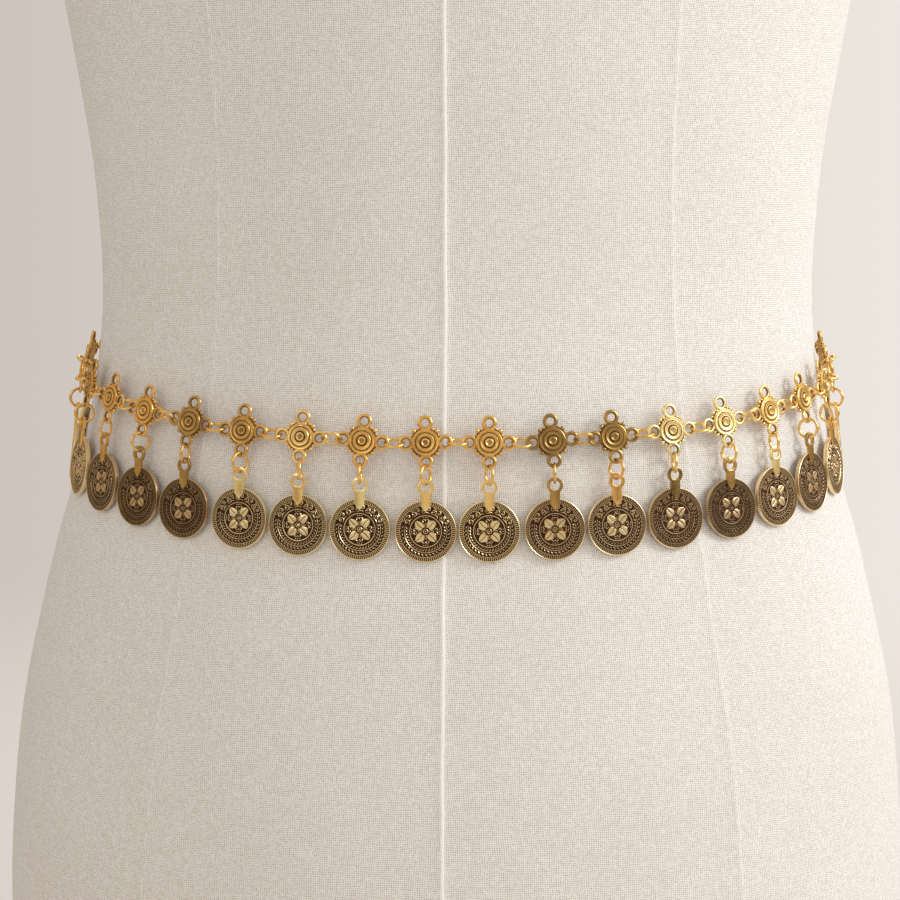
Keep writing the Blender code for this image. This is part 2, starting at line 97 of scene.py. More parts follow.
ROW_STEP = 3.0 * MM
WELT_HEIGHTS = (0.0135, 0.7300)
WELT_SECTION = ((-1.0, 0.0), (-0.5, 0.32), (0.0, 0.45), (0.5, 0.32), (1.0, 0.0))
FOOT_ROWS = (
    # height in mm, inward turn of the edge in mm, share of the way out from the middle
    (0.0, 0.0, 0.0), (0.0, 0.0, 0.5), (0.0, 4.0, 1.0), (1.2, 1.6, 1.0), (3.4, 0.4, 1.0),
)
NECK_ROWS = (
    # drop from the top in mm, inward turn in mm, share of the way out
    (4.0, 0.2, 1.0), (1.6, 1.3, 1.0), (0.3, 3.4, 1.0), (0.0, 6.0, 1.0), (0.0, 0.0, 0.45),
    (0.0, 0.0, 0.0),
)
# The weave's coordinates move on from panel to panel, so that the threads don't run through.
PANEL_SHIFT = 0.37
PANEL_CLIMB = 0.113
CAP_SHIFT = 3.0
ROUND_SAMPLES = 1441

# Band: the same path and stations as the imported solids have.
BAND_FRONT_HEIGHT = WAIST_HEIGHT - 0.046
BAND_TILT = math.radians(12.3)
BAND_STAND_OFF = 4.5 * MM
BAND_SAMPLES = 1440
UNIT_COUNT = 28
LEAST_PITCH = 17.0 * MM
MOST_PITCH = 24.0 * MM
SEAM_GAP = 0.3 * MM
FORM_GAP = 0.4 * MM
JOIN_DEPTH = 0.12 * MM
LOOP_REACH = 6.35 * MM
LOOP_HOLE = 1.35 * MM
RING_INNER = 2.66 * MM
LINK_TILTS = (30.0, -27.0, 24.0, 29.0, -29.0, 28.0, 18.0)
DROP_TWISTS = (12.0, -22.0, 24.0, 4.0, -26.0, 18.0, -10.0, 26.0, -16.0)
MEDALLION_ROLLS = (1.5, -2.0, 2.5, 0.0, -3.0, 2.0, -1.0, 3.0)
BAIL_HOLE = 1.60 * MM
BAIL_WALL = 1.00 * MM
COIN_RADIUS = 10.0 * MM
COIN_THICK = 1.40 * MM
COIN_BELOW_BAIL = 14.2 * MM
COIN_SET_BACK = 0.55 * MM
BAIL_MIDDLE = BAIL_WALL / 2 + BAIL_HOLE
COIN_DROP = BAIL_MIDDLE + COIN_BELOW_BAIL
LEAST_LEAN = math.radians(0.6)
EXTENDER_LINKS = 10
CLASP_HOLE = 2.40 * MM
CLASP_HOLE_HEIGHT = 1.70 * MM
CLASP_WALL = 1.50 * MM
CLASP_EYE_REACH = 7.60 * MM
CLASP_EYE_HOLE = 1.25 * MM
CLASP_EYE_OUTER = 2.35 * MM
LEVER_START = -1.50 * MM
LEVER_END = 1.70 * MM

FORM_BODY = "form_and_band"

# Shade of each piece, round the band from one end: 0 plain, 1 pale, -1 dull. Partly the plating's own
# tone from piece to piece, partly painted reflection and shade that follow how bright each piece shows.
MEDALLION_SHADES = (
    0.0, -0.3, 0.2, -0.2, 0.3, 0.0, -0.3, 0.1, 0.0, -0.55, -0.35, 0.55, 0.05, 0.0,
    0.15, -0.85, -0.75, 0.95, 0.90, 0.50, 0.20, 0.45, 0.0, -0.3, 0.2, -0.4, 0.3, 0.0,
)
COIN_SHADES = (
    0.1, -0.3, 0.2, -0.2, 0.3, 0.0, 0.05, -0.9, -1.1, -1.0, 0.40, 0.35, 0.45, 0.15,
    0.45, -0.20, 0.20, -0.65, -1.10, -0.30, -0.8, -0.35, 0.2, -0.3, 0.3, -0.2, 0.1, -0.2,
)
# The tabs' own shades: partly plating, partly painted reflection on their flat faces.
TAB_SHADES = (
    0.2, -0.6, 0.4, -0.3, 0.6, 0.1, 0.0, -0.7, -1.2, -1.3, 0.55, 0.30, 0.70, 0.35,
    0.35, -1.10, -0.40, -1.60, -1.10, 1.10, -1.1, -0.5, 0.3, -0.7, 0.5, -0.4, 0.2, -0.5,
)


# The form's surface and the band's path


def form_row(height):
    """Half width, half depth, centre y and squareness of the form at a height over the floor."""
    rise = height - WAIST_HEIGHT
    heights = [row[0] for row in FORM_TABLE]
    low = min(max(bisect.bisect_right(heights, rise) - 1, 0), len(FORM_TABLE) - 2)
    before = FORM_TABLE[max(low - 1, 0)]
    start = FORM_TABLE[low]
    end = FORM_TABLE[low + 1]
    after = FORM_TABLE[min(low + 2, len(FORM_TABLE) - 1)]
    span = end[0] - start[0]
    part = min(max((rise - start[0]) / span, 0.0), 1.0)
    row = []
    for column in range(1, 5):
        rate_in = (end[column] - before[column]) / (end[0] - before[0]) * span
        rate_out = (after[column] - start[column]) / (after[0] - start[0]) * span
        value = (2 * part**3 - 3 * part**2 + 1) * start[column]
        value += (part**3 - 2 * part**2 + part) * rate_in
        value += (3 * part**2 - 2 * part**3) * end[column]
        value += (part**3 - part**2) * rate_out
        row.append(value)
    return row


def form_point(angle, height):
    """Point of the form's surface: angle 0 is the centre front, and it grows towards +X."""
    half_width, half_depth, centre_y, square = form_row(height)
    across = abs(math.sin(angle) / half_width) ** square
    through = abs(math.cos(angle) / half_depth) ** square
    reach = (across + through) ** (-1.0 / square)
    return Vector((reach * math.sin(angle), centre_y - reach * math.cos(angle), height))


def form_normal(angle, height):
    turn_step = 0.004
    rise_step = 1.0 * MM
    around = form_point(angle + turn_step, height) - form_point(angle - turn_step, height)
    upward = form_point(angle, height + rise_step) - form_point(angle, height - rise_step)
    return around.cross(upward).normalized()


def form_clearance(point):
    """Distance from a point to the form's surface, negative inside it."""
    centre_y = form_row(point.z)[2]
    angle = math.atan2(point.x, centre_y - point.y)
    return (point - form_point(angle, point.z)).dot(form_normal(angle, point.z))


def band_point(angle):
    """Centre line of the band: the form cut by a tilted plane, moved out to stand clear."""
    front_y = form_point(0.0, BAND_FRONT_HEIGHT).y
    height = BAND_FRONT_HEIGHT
    for _ in range(5):
        surface = form_point(angle, height)
        height = BAND_FRONT_HEIGHT + (surface.y - front_y) * math.tan(BAND_TILT)
    return surface + BAND_STAND_OFF * form_normal(angle, height)


def measure_band():
    """Angles round the band and the path length at each, counted from the centre front."""
    angles = [TURN * step / BAND_SAMPLES for step in range(BAND_SAMPLES + 1)]
    points = [band_point(angle) for angle in angles]
    lengths = [0.0]
    for start, end in zip(points, points[1:]):
        lengths.append(lengths[-1] + (end - start).length)
    return angles, lengths


BAND_ANGLES, BAND_LENGTHS = measure_band()
BAND_GIRTH = BAND_LENGTHS[-1]


def band_angle(distance):
    distance %= BAND_GIRTH
    step = min(bisect.bisect_right(BAND_LENGTHS, distance), BAND_SAMPLES) - 1
    span = BAND_LENGTHS[step + 1] - BAND_LENGTHS[step]
    part = (distance - BAND_LENGTHS[step]) / span
    return BAND_ANGLES[step] + part * (BAND_ANGLES[step + 1] - BAND_ANGLES[step])


def axes_matrix(x_axis, y_axis, z_axis, origin):
    turn = Matrix((x_axis, y_axis, z_axis)).transposed()
    return Matrix.Translation(origin) @ turn.to_4x4()


def band_frame(distance, roll=0.0):
    """Frame on the band: x along it, y up, z out from the form."""
    angle = band_angle(distance)
    step = 0.01
    centre = band_point(angle)
    along = (band_point(angle + step) - band_point(angle - step)).normalized()
    outward = form_normal(angle, centre.z - 10.0 * MM)
    outward = (outward - along * outward.dot(along)).normalized()
    upward = outward.cross(along)
    return axes_matrix(along, upward, outward, centre) @ Matrix.Rotation(roll, 4, "Z")


def loop_point(place, side):
    """Centre of a side loop: side is +1 towards the next unit and -1 towards the last one."""
    return place @ Vector((side * LOOP_REACH, 0.0, 0.0))


OWN_LOOP_TO_RING = LOOP_HOLE + JOIN_DEPTH + RING_INNER
NEXT_LOOP_TO_RING = LOOP_HOLE - SEAM_GAP + RING_INNER
LOOP_SPACING = OWN_LOOP_TO_RING + NEXT_LOOP_TO_RING


def unit_roll(index):
    return math.radians(MEDALLION_ROLLS[index % len(MEDALLION_ROLLS)])


def next_distance(index, distance, step):
    """Path length of the unit after (step +1) or before (step -1) the one at a path length."""
    start = loop_point(band_frame(distance, unit_roll(index)), step)
    low = distance + step * LEAST_PITCH
    high = distance + step * MOST_PITCH
    for _ in range(30):
        middle = (low + high) / 2
        end = loop_point(band_frame(middle, unit_roll(index + step)), -step)
        if (end - start).length < LOOP_SPACING:
            low = middle
        else:
            high = middle
    return (low + high) / 2


def measure_units():
    """Path lengths of all medallions, the middle two either side of the centre front."""
    middle = UNIT_COUNT // 2
    places = {middle: LOOP_REACH + LOOP_SPACING / 2}
    for index in range(middle, UNIT_COUNT - 1):
        places[index + 1] = next_distance(index, places[index], 1)
    for index in range(middle, 0, -1):
        places[index - 1] = next_distance(index, places[index], -1)
    return [places[index] for index in range(UNIT_COUNT)]


UNIT_DISTANCES = measure_units()


def hang_axes(outward, lean):
    """Sideways, upward and outward axes of a piece that hangs with an outward lean."""
    level = Vector((outward.x, outward.y, 0.0)).normalized()
    sideways = Vector((0.0, 0.0, 1.0)).cross(level)
    upward = Vector((0.0, 0.0, math.cos(lean))) - level * math.sin(lean)
    return sideways, upward, sideways.cross(upward)


def drop_ring_place(place, twist):
    """Frame of the ring that hangs from a medallion's lower loop: x down, z along its axis."""
    outward = Vector(place.col[2][:3])
    lean = math.asin(max(outward.z, 0.0))
    sideways, upward, facing = hang_axes(outward, lean)
    axis = sideways * math.cos(twist) - facing * math.sin(twist)
    centre = place @ Vector((0.0, -LOOP_REACH, 0.0)) - upward * OWN_LOOP_TO_RING
    return axes_matrix(-upward, axis.cross(-upward), axis, centre)


def link_ring_place(place, next_loop, tilt):
    """Frame of the ring between two side loops: x towards the next loop, z along its axis."""
    start = loop_point(place, 1)
    along = (next_loop - start).normalized()
    outward = Vector(place.col[2][:3])
    outward = (outward - along * outward.dot(along)).normalized()
    upward = outward.cross(along)
    axis = upward * math.cos(tilt) + outward * math.sin(tilt)
    return axes_matrix(along, axis.cross(along), axis, start + along * OWN_LOOP_TO_RING)


def coin_place(drop_ring, outward):
    """Frame of a coin with its origin on the hinge line: leaning just clear of the form."""
    bail_drop = RING_INNER - SEAM_GAP - BAIL_WALL / 2
    hinge = drop_ring @ Vector((bail_drop, 0.0, 0.0))
    back = -COIN_SET_BACK - COIN_THICK / 2
    lean = LEAST_LEAN
    while True:
        place = axes_matrix(*hang_axes(outward, lean), hinge)
        rim = []
        for step in range(24):
            turn = TURN * step / 24
            across = COIN_RADIUS * math.sin(turn)
            down = COIN_DROP + COIN_RADIUS * math.cos(turn)
            rim.append(place @ Vector((across, -down, back)))
        if min(form_clearance(point) for point in rim) >= FORM_GAP:
            return place
        lean += math.radians(0.1)


def lay_out_units():
    """Frames of every unit's medallion, link ring, drop ring and coin."""
    places = [band_frame(at, unit_roll(i)) for i, at in enumerate(UNIT_DISTANCES)]
    units = []
    for index, place in enumerate(places):
        if index + 1 < UNIT_COUNT:
            next_loop = loop_point(places[index + 1], -1)
            tilt = math.radians(LINK_TILTS[index % len(LINK_TILTS)])
        else:
            next_loop = band_frame(UNIT_DISTANCES[-1] + LOOP_REACH + LOOP_SPACING).translation
            tilt = 0.0
        twist = math.radians(DROP_TWISTS[index % len(DROP_TWISTS)])
        drop_ring = drop_ring_place(place, twist)
        units.append({
            "medallion": place,
            "link_ring": link_ring_place(place, next_loop, tilt),
            "drop_ring": drop_ring,
            "coin": coin_place(drop_ring, Vector(place.col[2][:3])),
        })
    return units


# Modelling helpers


def deselect_all():
    if bpy.context.object and bpy.context.object.mode != "OBJECT":
        bpy.ops.object.mode_set(mode="OBJECT")
    bpy.ops.object.select_all(action="DESELECT")


def take(item):
    """Make one object the only selected and the active one."""
    deselect_all()
    item.select_set(True)
    bpy.context.view_layer.objects.active = item
    return item


def name_piece(name):
    item = bpy.context.object
    item.name = name
    item.data.name = name
    return item


def settle(item):
    """Put the object's place into its mesh, so that the object sits at the origin."""
    take(item)
    bpy.ops.object.transform_apply(location=True, rotation=True, scale=True)
    return item


def edit_whole(item):
    """Enter edit mode on one object, with all of it selected."""
    take(item)
    bpy.ops.object.mode_set(mode="EDIT")
    bpy.ops.mesh.select_all(action="SELECT")


def tidy_shell(item):
    """Merge doubled points and turn the faces outwards."""
    edit_whole(item)
    bpy.ops.mesh.remove_doubles(threshold=0.004 * MM)
    bpy.ops.mesh.normals_make_consistent(inside=False)
    bpy.ops.object.mode_set(mode="OBJECT")
    return item


def join_all(name, items):
    """Join finished shapes to one object."""
    deselect_all()
    for item in items:
        item.select_set(True)
    bpy.context.view_layer.objects.active = items[0]
    bpy.ops.object.join()
    return name_piece(name)


def smooth(item, degrees=38.0):
    take(item)
    bpy.ops.object.shade_smooth_by_angle(angle=math.radians(degrees))
    return item


def turned(name, section, steps):
    """Lathe work: a section of (reach, height) points in mm, spun round Z."""
    deselect_all()
    bpy.ops.mesh.primitive_plane_add(size=MM)
    item = name_piece(name)
    edit_whole(item)
    bpy.ops.mesh.merge(type="CENTER")
    reach, height = section[0]
    bpy.ops.transform.translate(value=(reach * MM, 0.0, height * MM))
    for (reach, height), (next_reach, next_height) in zip(section, section[1:]):
        move = ((next_reach - reach) * MM, 0.0, (next_height - height) * MM)
        bpy.ops.mesh.extrude_region_move(TRANSFORM_OT_translate={"value": move})
    bpy.ops.mesh.select_all(action="SELECT")
    bpy.ops.mesh.spin(steps=steps, angle=TURN, center=(0, 0, 0), axis=(0, 0, 1))
    bpy.ops.object.mode_set(mode="OBJECT")
    return tidy_shell(item)


def spun_copies(item, count):
    """Repeat a shape round Z, as with the spin tool's duplicates."""
    edit_whole(item)
    bpy.ops.mesh.spin(
        steps=count, dupli=True, angle=TURN, center=(0, 0, 0), axis=(0, 0, 1),
        use_auto_merge=False,
    )
    bpy.ops.object.mode_set(mode="OBJECT")
    return tidy_shell(item)


def add_object(name, data):
    item = bpy.data.objects.new(name, data)
    bpy.context.scene.collection.objects.link(item)
    return item


def discard(*items):
    for item in items:
        bpy.data.objects.remove(item, do_unlink=True)


def curve_to_mesh(name, curve):
    take(add_object(name, curve))
    bpy.ops.object.convert(target="MESH")
    return bpy.context.object


def stroke(name, points, width, rise=0.0, taper=0.55):
    """Fine raised line: a rounded wire in mm along points that lie in a plane."""
    curve = bpy.data.curves.new(name, "CURVE")
    curve.dimensions = "3D"
    curve.bevel_depth = width / 2 * MM
    curve.bevel_resolution = 0
    curve.use_fill_caps = True
    spline = curve.splines.new("POLY")
    spline.points.add(len(points) - 1)
    last = len(points) - 1
    for number, (point, (x, y)) in enumerate(zip(spline.points, points)):
        point.co = (x * MM, y * MM, rise * MM, 1.0)
        point.radius = 1.0 - (1.0 - taper) * abs(2.0 * number / last - 1.0) ** 2
    return curve_to_mesh(name, curve)


def arc(centre, radius, start, end, count, shrink=0.0):
    """Points on an arc in degrees, winding in towards its centre by the shrink."""
    points = []
    for step in range(count):
        part = step / (count - 1)
        turn = math.radians(start + (end - start) * part)
        reach = radius * (1.0 - shrink * part)
        points.append((centre[0] + reach * math.cos(turn), centre[1] + reach * math.sin(turn)))
    return points


LEAF_FOOT = 0.36
LEAF_RISE = 0.30


def leaf(centre, facing, length, width):
    """Small leaf in mm: a low pointed mound that lies on the face."""
    deselect_all()
    bpy.ops.mesh.primitive_cone_add(
        vertices=8, radius1=0.5 * MM, radius2=0.0, depth=LEAF_RISE * MM, end_fill_type="NGON",
        location=(centre[0] * MM, centre[1] * MM, (LEAF_FOOT + LEAF_RISE / 2) * MM),
        rotation=(0.0, 0.0, math.radians(facing)), scale=(length, width, 1.0),
    )
    return settle(name_piece("leaf"))


def bead(name, centre, radius, squash=1.0, segments=10, rings=6):
    deselect_all()
    bpy.ops.mesh.primitive_uv_sphere_add(
        segments=segments, ring_count=rings, radius=radius * MM,
        location=[value * MM for value in centre], scale=(1.0, 1.0, squash),
    )
    return settle(name_piece(name))


def plate(name, outlines, thickness, edge):
    """Stamped plate in mm from an outline and its holes, with rounded edges."""
    curve = bpy.data.curves.new(name, "CURVE")
    curve.dimensions = "2D"
    curve.fill_mode = "BOTH"
    curve.extrude = (thickness / 2 - edge) * MM
    curve.bevel_depth = edge * MM
    curve.bevel_resolution = 1
    curve.offset = -edge * MM
    for outline in outlines:
        spline = curve.splines.new("POLY")
        spline.points.add(len(outline) - 1)
        for point, (x, y) in zip(spline.points, outline):
            point.co = (x * MM, y * MM, 0.0, 1.0)
        spline.use_cyclic_u = True
    return tidy_shell(curve_to_mesh(name, curve))


def set_values(mesh, name, values):
    """Store one number for each point of a mesh, for the materials to read."""
    mesh.attributes.new(name, "FLOAT", "POINT").data.foreach_set("value", values)


def set_relief(item, measure):
    """Store how high each point lies: 0 in a hollow, 1 where it is worn, more where it shines, which
    paints a paler highlight.
    """
    set_values(item.data, "relief", [measure(point.co / MM) for point in item.data.vertices])


def look_up(table, value):
    """Value between the rows of a table of (position, value)."""
    return float(np.interp(value, [row[0] for row in table], [row[1] for row in table]))


def place_copy(pattern, name, place, shade, body, slot, *nodes, tab_shade=0.0):
    """Copy a finished shape to its place, with a mesh of its own, riding on its body.

    Faces of a second material, which only the coins' tabs have, take a shade of their own.
    """
    mesh = pattern.data.copy()
    mesh.name = name
    mesh.transform(place)
    shades = [shade] * len(mesh.vertices)
    for face in mesh.polygons:
        if face.material_index == 1:
            for corner in face.vertices:
                shades[corner] = tab_shade
    set_values(mesh, "plating_and_reflection", shades)
    item = add_object(name, mesh)
    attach(item, body)
    if nodes:
        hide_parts(*nodes)
    return item


# Materials


def feed(tree, socket, value):
    """Link a socket to another one, or give it a plain value or an opaque colour."""
    if isinstance(value, bpy.types.NodeSocket):
        tree.links.new(value, socket)
    elif socket.type == "RGBA":
        socket.default_value = (*value, 1.0)
    else:
        socket.default_value = value


def add_node(tree, kind, settings=None, **inputs):
    """Add a shader node; inputs, by name or as i0, i1 and so on, are sockets or plain values."""
    made = tree.nodes.new(kind)
    for key, value in (settings or {}).items():
        setattr(made, key, value)
    for key, value in inputs.items():
        feed(tree, made.inputs[int(key[1:]) if key[1:].isdigit() else key], value)
    return made


def math_node(tree, operation, first, second=0.0, third=0.0):
    made = add_node(tree, "ShaderNodeMath", {"operation": operation}, i0=first, i1=second, i2=third)
    return made.outputs[0]


def mapped(tree, value, start, end, low=0.0, high=1.0, kind="SMOOTHSTEP"):
    """Turn the range from start to end into the one from low to high."""
    made = add_node(tree, "ShaderNodeMapRange", {"interpolation_type": kind},
                    i0=value, i1=start, i2=end, i3=low, i4=high)
    return made.outputs[0]


def stored(tree, name):
    """Number that is stored for each point of the mesh."""
    return add_node(tree, "ShaderNodeAttribute", {"attribute_name": name}).outputs["Fac"]


def noise(tree, place, scale, detail, **inputs):
    made = add_node(tree, "ShaderNodeTexNoise", Vector=place, Scale=scale, Detail=detail, **inputs)
    return made.outputs[0]


def mix_colours(tree, factor, first, second, blend="MIX"):
    made = tree.nodes.new("ShaderNodeMix")
    made.data_type = "RGBA"
    made.blend_type = blend
    for key, value in (("Factor_Float", factor), ("A_Color", first), ("B_Color", second)):
        feed(tree, next(item for item in made.inputs if item.identifier == key), value)
    return next(item for item in made.outputs if item.identifier == "Result_Color")


def ramp(tree, factor, stops):
    """Colour ramp through stops of (position, red, green, blue)."""
    made = tree.nodes.new("ShaderNodeValToRGB")
    tree.links.new(factor, made.inputs[0])
    elements = made.color_ramp.elements
    for element, stop in ((elements[0], stops[0]), (elements[1], stops[-1])):
        element.position = stop[0]
        element.color = (*stop[1:], 1.0)
    for stop in stops[1:-1]:
        elements.new(stop[0]).color = (*stop[1:], 1.0)
    return made.outputs[0]


def new_material(name):
    material = bpy.data.materials.new(name)
    material.use_nodes = True
    tree = material.node_tree
    return material, tree, tree.nodes["Principled BSDF"]


THREADS_PER_METRE = 1430.0
THREAD_WANDER = 0.95  # how many threads' width a thread strays to either side
THREAD_LIFT = 0.58  # mean height of a thread at a crossing, and how far it dips and rises there
THREAD_DIP = 0.42
TINT_PER_METRE = 520.0
TINT_STEP = 0.731
SLUB_LIFT = 0.20
FOLD_PRESS = 0.75
LINEN_TINTS = ((0.0, 0.812, 0.759, 0.702), (0.5, 0.850, 0.800, 0.746), (1.0, 0.888, 0.843, 0.794))
SLUB_COLOUR = (0.93, 0.90, 0.86)
# Dark colour for the weave's gaps: partly the layer beneath, partly painted shade in the hollows between
# the threads.
GAP_SHADE_COLOUR = (0.470, 0.400, 0.330)
CLOUD_COLOUR = (0.62, 0.52, 0.43)
# Pale colour for the seam ridges: a painted highlight where the ridges catch the light from the right.
CREST_HIGHLIGHT_COLOUR = (0.93, 0.885, 0.83)


def linen_material():
    """Plain-weave linen: threads of uneven thickness, slubs, and fine gaps at the crossings."""
    material, tree, shader = new_material("linen_cloth")
    place = add_node(tree, "ShaderNodeUVMap", {"uv_map": "weave"}).outputs[0]
    wander = add_node(
        tree, "ShaderNodeTexNoise", {"noise_dimensions": "2D"},
        Vector=place, Scale=90.0, Detail=1.0, Roughness=0.6,
    ).outputs["Color"]
    parts = add_node(tree, "ShaderNodeSeparateXYZ", i0=place).outputs
    wanders = add_node(tree, "ShaderNodeSeparateXYZ", i0=wander).outputs
    counts = []
    for axis in range(2):
        count = math_node(tree, "MULTIPLY", parts[axis], THREADS_PER_METRE)
        shift = math_node(tree, "MULTIPLY_ADD", wanders[axis], 2 * THREAD_WANDER, -THREAD_WANDER)
        counts.append(math_node(tree, "ADD", count, shift))
    waves = [math_node(tree, "SINE", math_node(tree, "MULTIPLY", count, math.pi)) for count in counts]
    warp, weft = [math_node(tree, "ABSOLUTE", wave) for wave in waves]
    side = math_node(tree, "SIGN", math_node(tree, "MULTIPLY", *waves))
    tints = []
    slubs = []
    for axis in range(2):
        own = math_node(tree, "FLOOR", counts[axis])
        along = math_node(tree, "MULTIPLY", parts[1 - axis], TINT_PER_METRE)
        spot = add_node(tree, "ShaderNodeCombineXYZ", i0=math_node(tree, "MULTIPLY", own, TINT_STEP),
                        i1=along, i2=3.7 + 8.0 * axis)
        tints.append(noise(tree, spot.outputs[0], 1.0, 1.0))
        slubs.append(mapped(tree, tints[-1], 0.70, 0.80))
    heights = []
    for own, other, dip in ((warp, weft, THREAD_DIP), (weft, warp, -THREAD_DIP)):
        lift = math_node(tree, "MULTIPLY_ADD", math_node(tree, "MULTIPLY", side, other), dip, THREAD_LIFT)
        heights.append(math_node(tree, "MULTIPLY", own, lift))
    cloth_height = math_node(tree, "MAXIMUM", *heights)
    slub_height = math_node(tree, "MAXIMUM", *slubs)
    open_cloth = math_node(tree, "MULTIPLY_ADD", stored(tree, "fold"), -FOLD_PRESS, 1.0)
    height = math_node(tree, "MULTIPLY_ADD", slub_height, SLUB_LIFT, cloth_height)
    height = math_node(tree, "MULTIPLY", height, open_cloth)
    # Colour: warmer and darker in the gaps, partly what lies beneath showing through and partly painted
    # shade in the hollows between the threads; lighter on the threads and slubs.
    gap = mapped(tree, cloth_height, 0.20, 0.72, 0.74, 0.0)
    thread_shade = mapped(tree, math_node(tree, "ADD", *tints), 0.70, 1.30, kind="LINEAR")
    slub_share = math_node(tree, "MULTIPLY", slub_height, 0.45)
    threads = mix_colours(tree, slub_share, ramp(tree, thread_shade, LINEN_TINTS), SLUB_COLOUR)
    warp_count, weft_count = [math_node(tree, "ROUND", count) for count in counts]
    crossing = add_node(tree, "ShaderNodeCombineXYZ", i0=warp_count, i1=weft_count)
    chance = add_node(tree, "ShaderNodeTexWhiteNoise", {"noise_dimensions": "2D"},
                      Vector=crossing.outputs[0]).outputs["Value"]
    gap = math_node(tree, "MULTIPLY", gap, math_node(tree, "MULTIPLY_ADD", chance, 1.0, 0.45))
    woven = mix_colours(tree, math_node(tree, "MULTIPLY", gap, open_cloth), threads, GAP_SHADE_COLOUR)
    cloud = mapped(tree, noise(tree, place, 14.0, 3.0), 0.3, 0.7, 0.0, 0.08, "LINEAR")
    shade = mix_colours(tree, cloud, woven, CLOUD_COLOUR, "MULTIPLY")
    # Painted highlight: the seam ridges are made paler in colour, as if lit.
    crest_highlight = math_node(tree, "MULTIPLY", stored(tree, "crest_highlight"), 0.62)
    feed(tree, shader.inputs["Base Color"], mix_colours(tree, crest_highlight, shade, CREST_HIGHLIGHT_COLOUR))
    bump = add_node(tree, "ShaderNodeBump", Height=height, Strength=0.75, Distance=0.16 * MM)
    feed(tree, shader.inputs["Normal"], bump.outputs[0])
    feed(tree, shader.inputs["Roughness"], 0.93)
    feed(tree, shader.inputs["Specular IOR Level"], 0.2)
    feed(tree, shader.inputs["Sheen Weight"], 0.12)
    feed(tree, shader.inputs["Sheen Roughness"], 0.5)
    return material


WEAR_SPREAD = 0.44
CLOUD_SPREAD = 0.50
TONE_SPREAD = 0.40
SHADE_SPREAD = 0.38
PATINA_METAL = 0.35
PATINA_ROUGHNESS = 0.62
ROUGHNESS_SPREAD = 0.14


def gold_material(name, stops, patina, dark_edge, bright_edge, roughness, grain):
    """Cast gold plate: polished where it stands proud, with brown patina left in its hollows."""
    material, tree, shader = new_material(name)
    place = add_node(tree, "ShaderNodeTexCoord").outputs["Object"]
    relief = stored(tree, "relief")
    wear = noise(tree, place, 900.0, 3.0, Roughness=0.65)
    cloud = noise(tree, place, 75.0, 2.0)
    shift = math_node(tree, "MULTIPLY_ADD", wear, WEAR_SPREAD, -WEAR_SPREAD / 2)
    worn = math_node(tree, "ADD", relief, shift)
    shift = math_node(tree, "MULTIPLY_ADD", cloud, CLOUD_SPREAD, -CLOUD_SPREAD / 2)
    worn = math_node(tree, "ADD", worn, shift)
    proud = mapped(tree, worn, dark_edge, bright_edge)
    fine_tone = noise(tree, place, 260.0, 3.0)
    tone = math_node(tree, "MULTIPLY_ADD", fine_tone, TONE_SPREAD, 0.30)
    # Stored shade per piece: plating tone together with painted reflection and shade.
    tone = math_node(tree, "MULTIPLY_ADD", stored(tree, "plating_and_reflection"), SHADE_SPREAD, tone)
    # Edges and flats that rub most are polished brighter; above 1 the colour turns paler still, a painted
    # highlight on ridges, rims and tabs.
    polish_and_highlight = math_node(tree, "MAXIMUM", math_node(tree, "SUBTRACT", relief, 1.0), 0.0)
    gold = ramp(tree, math_node(tree, "ADD", tone, polish_and_highlight), stops)
    feed(tree, shader.inputs["Base Color"], mix_colours(tree, proud, patina, gold))
    metal = mapped(tree, proud, 0.0, 1.0, PATINA_METAL, 1.0, "LINEAR")
    feed(tree, shader.inputs["Metallic"], metal)
    dull = math_node(tree, "MULTIPLY_ADD", proud, roughness - PATINA_ROUGHNESS, PATINA_ROUGHNESS)
    dull = math_node(tree, "SUBTRACT", dull, ROUGHNESS_SPREAD / 2)
    rough = math_node(tree, "MULTIPLY_ADD", wear, ROUGHNESS_SPREAD, dull)
    feed(tree, shader.inputs["Roughness"], rough)
    feed(tree, shader.inputs["Specular IOR Level"], 0.25)
    bump = add_node(tree, "ShaderNodeBump", Height=wear, Strength=grain, Distance=0.05 * MM)
    feed(tree, shader.inputs["Normal"], bump.outputs[0])
    return material


LINEN = linen_material()
WARM_GOLD = gold_material(
    "antique_gold",
    stops=(
        (0.0, 0.250, 0.175, 0.070), (0.25, 0.520, 0.350, 0.130), (0.5, 0.880, 0.560, 0.190),
        (0.76, 0.980, 0.705, 0.285), (0.95, 1.000, 0.885, 0.490),
    ),
    patina=(0.175, 0.074, 0.016), dark_edge=0.14, bright_edge=0.80, roughness=0.28, grain=0.35,
)
COIN_GOLD = gold_material(
    "aged_coin_gold",
    stops=(
        (0.0, 0.300, 0.222, 0.125), (0.25, 0.610, 0.455, 0.275), (0.5, 0.860, 0.678, 0.415),
        (0.95, 0.990, 0.880, 0.540),
    ),
    patina=(0.050, 0.0165, 0.004), dark_edge=0.32, bright_edge=0.76, roughness=0.32, grain=0.5,
)


# The form's cover


def seam_angles(rise):
    """Angles of the cover's nine seam columns, from centre back round to centre back."""
    front = look_up(PRINCESS_LINE, rise)
    lines = (-180.0, front - 180.0, -90.0, -front, 0.0, front, 90.0, 180.0 - front, 180.0)
    return [math.radians(line) + COVER_TURN for line in lines]


def section_points(height, angles):
    half_width, half_depth, centre_y, square = form_row(height)
    across = np.abs(np.sin(angles) / half_width) ** square
    through = np.abs(np.cos(angles) / half_depth) ** square
    reach = (across + through) ** (-1.0 / square)
    return np.stack((reach * np.sin(angles), centre_y - reach * np.cos(angles)), axis=1)


